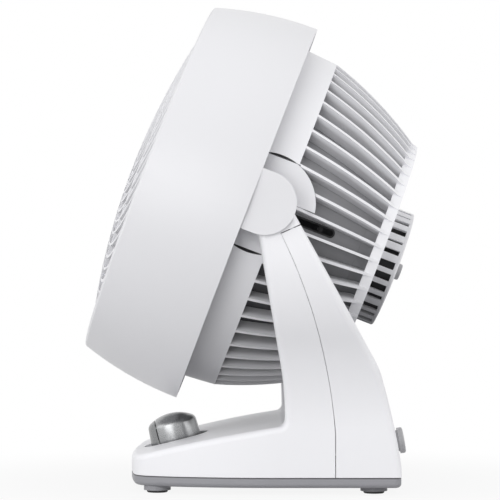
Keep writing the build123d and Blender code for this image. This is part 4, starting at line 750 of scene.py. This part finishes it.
class KNOB_OT_finish(bpy.types.Operator):
    """Models the speed knob and its insert, and gives them and the spindle their finishes"""

    bl_idname = "circulator.knob"
    bl_label = "Speed knob"

    def execute(self, context):
        colours = context.scene.circulator_finish
        sizes = context.scene.circulator_knob
        hub_r, hub_low, hub_wall = 6.0 * MM, 1.6 * MM, 2.9 * MM
        body = self.add_shell("knob_shell", sizes, 1.0)
        hub = cylinder("knob_hub", joint_place("knob_turn"), hub_r, hub_low, sizes.shoulder_height, 48, "NOTHING")
        thicken(hub, hub_wall, 0.2 * MM)
        join(body, hub)
        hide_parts("knob")
        fit(body, silver_paint("knob_silver", colours.knob, 0.88, 0.27), "knob")
        insert = self.add_shell("knob_insert", sizes, -1.0)
        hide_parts("knob_pointer")
        insert_silver = silver_paint("insert_silver", toned(colours.knob, 0.75), 0.85, 0.24)
        fit(insert, insert_silver, "knob")
        dress(bright_metal("spindle_steel", (0.5, 0.5, 0.51)), "switch_spindle")
        return {"FINISHED"}

    @staticmethod
    def add_shell(name, sizes, side):
        """The knob's hollow form behind its cross groove, or before it where side is -1."""
        place = joint_place("knob_turn")
        low, shoulder = -2.4 * MM, sizes.shoulder_height
        form = cylinder(name, place, sizes.foot_radius, low, shoulder, 144)
        pick(form, at_height(place, shoulder))
        widen(place, shoulder, sizes.top_radius / sizes.foot_radius)
        rise, rings = sizes.crown_height - shoulder, 8
        ball = (sizes.top_radius ** 2 + rise ** 2) / (2 * rise)
        ring_width = sizes.top_radius / (rings + 0.5)
        reached = 0.0
        for ring in range(1, rings + 1):
            radius = sizes.top_radius - ring * ring_width
            height = math.sqrt(ball ** 2 - radius ** 2) - (ball - rise)
            bpy.ops.mesh.inset(thickness=ring_width)
            bpy.ops.transform.translate(value=place.to_3x3() @ Vector((0.0, 0.0, height - reached)))
            reached = height
        round_edges(form, at_height(place, shoulder), sizes.shoulder_rounding)
        bpy.ops.mesh.select_all(action="SELECT")
        cut = place @ Vector((0.0, sizes.groove_place + side * sizes.groove_width / 2, 0.0))
        ahead = place.to_3x3() @ Vector((0.0, -side, 0.0))
        bpy.ops.mesh.bisect(plane_co=cut, plane_no=ahead, use_fill=True, clear_outer=True)
        face_outwards()
        pick(form, at_height(place, low))
        bpy.ops.mesh.delete(type="FACE")
        thicken(form, 1.8 * MM, 0.3 * MM)
        return form


class WIRING_OT_finish(bpy.types.Operator):
    """Gives the switch, the board, the leads and the screws their finishes"""

    bl_idname = "circulator.wiring"
    bl_label = "Switch and wiring"

    def execute(self, context):
        colours = context.scene.circulator_finish
        black = moulded_plastic("black_plastic", (0.03, 0.03, 0.032), 0.4, 1800.0)
        dress(black, "speed_switch", "capacitor", "terminal_block", "lead_clamp", "inlet_nut")
        dress(rubber("lead_sleeve", colours.rubber, 0.8), "base_lead", "switch_lead", "arm_lead")
        dress(rubber("motor_lead_sleeve", toned(colours.rubber, 0.25), 0.88), "head_lead")
        dress(coated_board("board_green", (0.02, 0.12, 0.05)), "power_board")
        dress(bright_metal("nut_brass", (0.6, 0.45, 0.2)), "switch_nut")
        zinc = bright_metal("screw_zinc", (0.6, 0.6, 0.61))
        dress(zinc, "board_screws", "clamp_screws", "head_screws")
        self.add_plate_screws(zinc, context.scene.circulator_hardware)
        return {"FINISHED"}

    @staticmethod
    def add_plate_screws(material, hardware):
        """The four screws under the base plate, with pan heads and cross recesses."""
        corners = ((50, -68), (-50, -68), (52, 80), (-52, 80))
        places = [Matrix.Translation((x * MM, y * MM, 0.0)) for x, y in corners]
        first = places[0]
        head_low, head_top, tip = 6.7 * MM, 8.7 * MM, 22.7 * MM
        head_r, shank_r, tip_share, head_rounding = 2.9 * MM, 1.45 * MM, 0.35, 0.8 * MM
        screw = cylinder("plate_screw_heads", first, head_r, head_low, head_top, 40)
        pick(screw, at_height(first, head_top))
        bpy.ops.mesh.inset(thickness=head_r - shank_r)
        push(first, tip - head_top - shank_r)
        push(first, shank_r)
        widen(first, tip, tip_share)
        round_edges(screw, at_height(first, head_low), head_rounding)
        finish_mesh()
        span, width, depth = hardware.recess_span, hardware.recess_width, hardware.recess_depth
        for span_x, span_y in ((span, width), (width, span)):
            start_clean()
            bpy.ops.mesh.primitive_cube_add(size=1.0, location=first @ Vector((0.0, 0.0, head_low)))
            bpy.context.object.scale = (span_x, span_y, 2 * depth)
            cut_away(screw, named("recess_cutter"))
        join(screw, *(copy_of(screw, f"plate_screw_{index}", place @ first.inverted())
                      for index, place in enumerate(places[1:], 2)))
        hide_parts("plate_screws")
        fit(screw, material, "base")


class STUDIO_OT_set(bpy.types.Operator):
    """Sets up the pale floor, the soft lights, the white surround and the camera"""

    bl_idname = "circulator.studio"
    bl_label = "Studio"

    def execute(self, context):
        studio = context.scene.circulator_studio
        self.add_floor()
        self.add_softbox("overhead_softbox", (0.25, -0.2, 1.5), 1.8, studio.key_power)
        self.add_softbox("side_softbox", (1.7, -0.7, 0.42), 1.2, studio.side_power)
        self.add_softbox("front_softbox", (0.7, -1.6, 0.55), 1.2, studio.front_power)
        self.add_softbox("rear_softbox", (0.5, 1.5, 0.9), 1.0, studio.back_power)
        self.add_surround(studio.ambient)
        self.add_camera(studio.distance, studio.frame_width)
        context.scene.view_settings.view_transform = "Standard"
        return {"FINISHED"}

    @staticmethod
    def seen(recipe):
        """1 for the rays that show the background: from the camera, in gloss and through glass."""
        ray = recipe.node("ShaderNodeLightPath")
        shown = ray["Is Camera Ray"] + ray["Is Glossy Ray"] + ray["Is Transmission Ray"]
        return recipe.node("ShaderNodeClamp", None, {"Value": shown})["Result"]

    def add_floor(self):
        """Pale paper that fades to white away from the fan and keeps its shadow."""
        fade_from, fade_to, least_white = 0.12, 0.36, 0.90
        start_clean()
        bpy.ops.mesh.primitive_plane_add(size=12.0, location=(0, 0, 0))
        floor = named("studio_floor")
        recipe = Recipe("floor_paper")
        paper = recipe.node("ShaderNodeBsdfDiffuse", None, {"Color": (0.50, 0.50, 0.505, 1.0)})["BSDF"]
        glow = recipe.node("ShaderNodeEmission", None, {"Color": WHITE, "Strength": 1.0})["Emission"]
        away = recipe.vector("LENGTH", recipe.place)
        blank = recipe.ramp(away, fade_from, fade_to, least_white, 1.0, interpolation_type="SMOOTHSTEP")
        factor = self.seen(recipe) * blank
        mixed = recipe.node("ShaderNodeMixShader", None, {0: factor, 1: paper, 2: glow})["Shader"]
        recipe.node("ShaderNodeOutputMaterial", None, {"Surface": mixed})
        floor.data.materials.append(recipe.owner)

    @staticmethod
    def add_softbox(name, place, size, power):
        """A square light of a size, aimed at the fan."""
        light = bpy.data.lights.new(name, "AREA")
        light.shape, light.size, light.energy = "SQUARE", size, power
        lamp = bpy.data.objects.new(name, light)
        lamp.location = place
        aim = OBJECT_MIDDLE - Vector(place)
        lamp.rotation_euler = aim.to_track_quat("-Z", "Y").to_euler()
        bpy.context.scene.collection.objects.link(lamp)

    def add_surround(self, ambient):
        """White where the background shows, and for the light on the fan a soft sky that is darker below."""
        darkest_rise, full_rise = -0.8, 0.4
        recipe = Recipe("white_surround", bpy.data.worlds.new("white_surround"))
        _, _, rise = recipe.parts(recipe.coordinates["Generated"])
        sky = recipe.ramp(rise, darkest_rise, full_rise, ambient / 4, ambient)
        level = sky + self.seen(recipe) * (1.0 - sky)
        surround = recipe.node("ShaderNodeBackground", None, {"Color": WHITE, "Strength": level})["Background"]
        recipe.node("ShaderNodeOutputWorld", None, {"Surface": surround})
        bpy.context.scene.world = recipe.owner

    @staticmethod
    def add_camera(distance, frame_width):
        """The camera level with the fan's middle, looking along the tilt axis."""
        data = bpy.data.cameras.new("photo_camera")
        data.sensor_width = 36.0
        data.lens = data.sensor_width * distance / frame_width
        camera = bpy.data.objects.new("photo_camera", data)
        camera.location = OBJECT_MIDDLE + ACROSS * distance
        camera.rotation_euler = (math.radians(90), 0.0, math.radians(90))
        bpy.context.scene.collection.objects.link(camera)
        bpy.context.scene.camera = camera


class CIRCULATOR_PT_panel(bpy.types.Panel):
    """Lists the steps of the dressing and their settings"""

    bl_idname = "CIRCULATOR_PT_panel"
    bl_label = "Air circulator"
    bl_space_type = "VIEW_3D"
    bl_region_type = "UI"
    bl_category = "Air circulator"

    def draw(self, context):
        for step in STEPS:
            self.layout.operator(step.bl_idname)
        for group in (getattr(context.scene, name) for name in SETTINGS):
            for name in group.__annotations__:
                self.layout.prop(group, name)


STEPS = (STAND_OT_finish, HEAD_OT_finish, PIVOT_OT_finish, FAN_OT_finish, KNOB_OT_finish, WIRING_OT_finish,
         STUDIO_OT_set)
SETTINGS = {"circulator_finish": FinishSettings, "circulator_studio": StudioSettings,
            "circulator_knob": KnobSettings, "circulator_hardware": HardwareSettings}


def register():
    for kind in (*SETTINGS.values(), *STEPS, CIRCULATOR_PT_panel):
        bpy.utils.register_class(kind)
    for name, kind in SETTINGS.items():
        setattr(bpy.types.Scene, name, bpy.props.PointerProperty(type=kind))


def unregister():
    for name in SETTINGS:
        delattr(bpy.types.Scene, name)
    for kind in (CIRCULATOR_PT_panel, *reversed(STEPS), *SETTINGS.values()):
        bpy.utils.unregister_class(kind)


def main():
    register()
    for step in STEPS:
        group, operator = step.bl_idname.split(".")
        if getattr(getattr(bpy.ops, group), operator)() != {"FINISHED"}:
            raise RuntimeError(f"{step.bl_label} didn't finish")


if __name__ == "__main__":
    main()
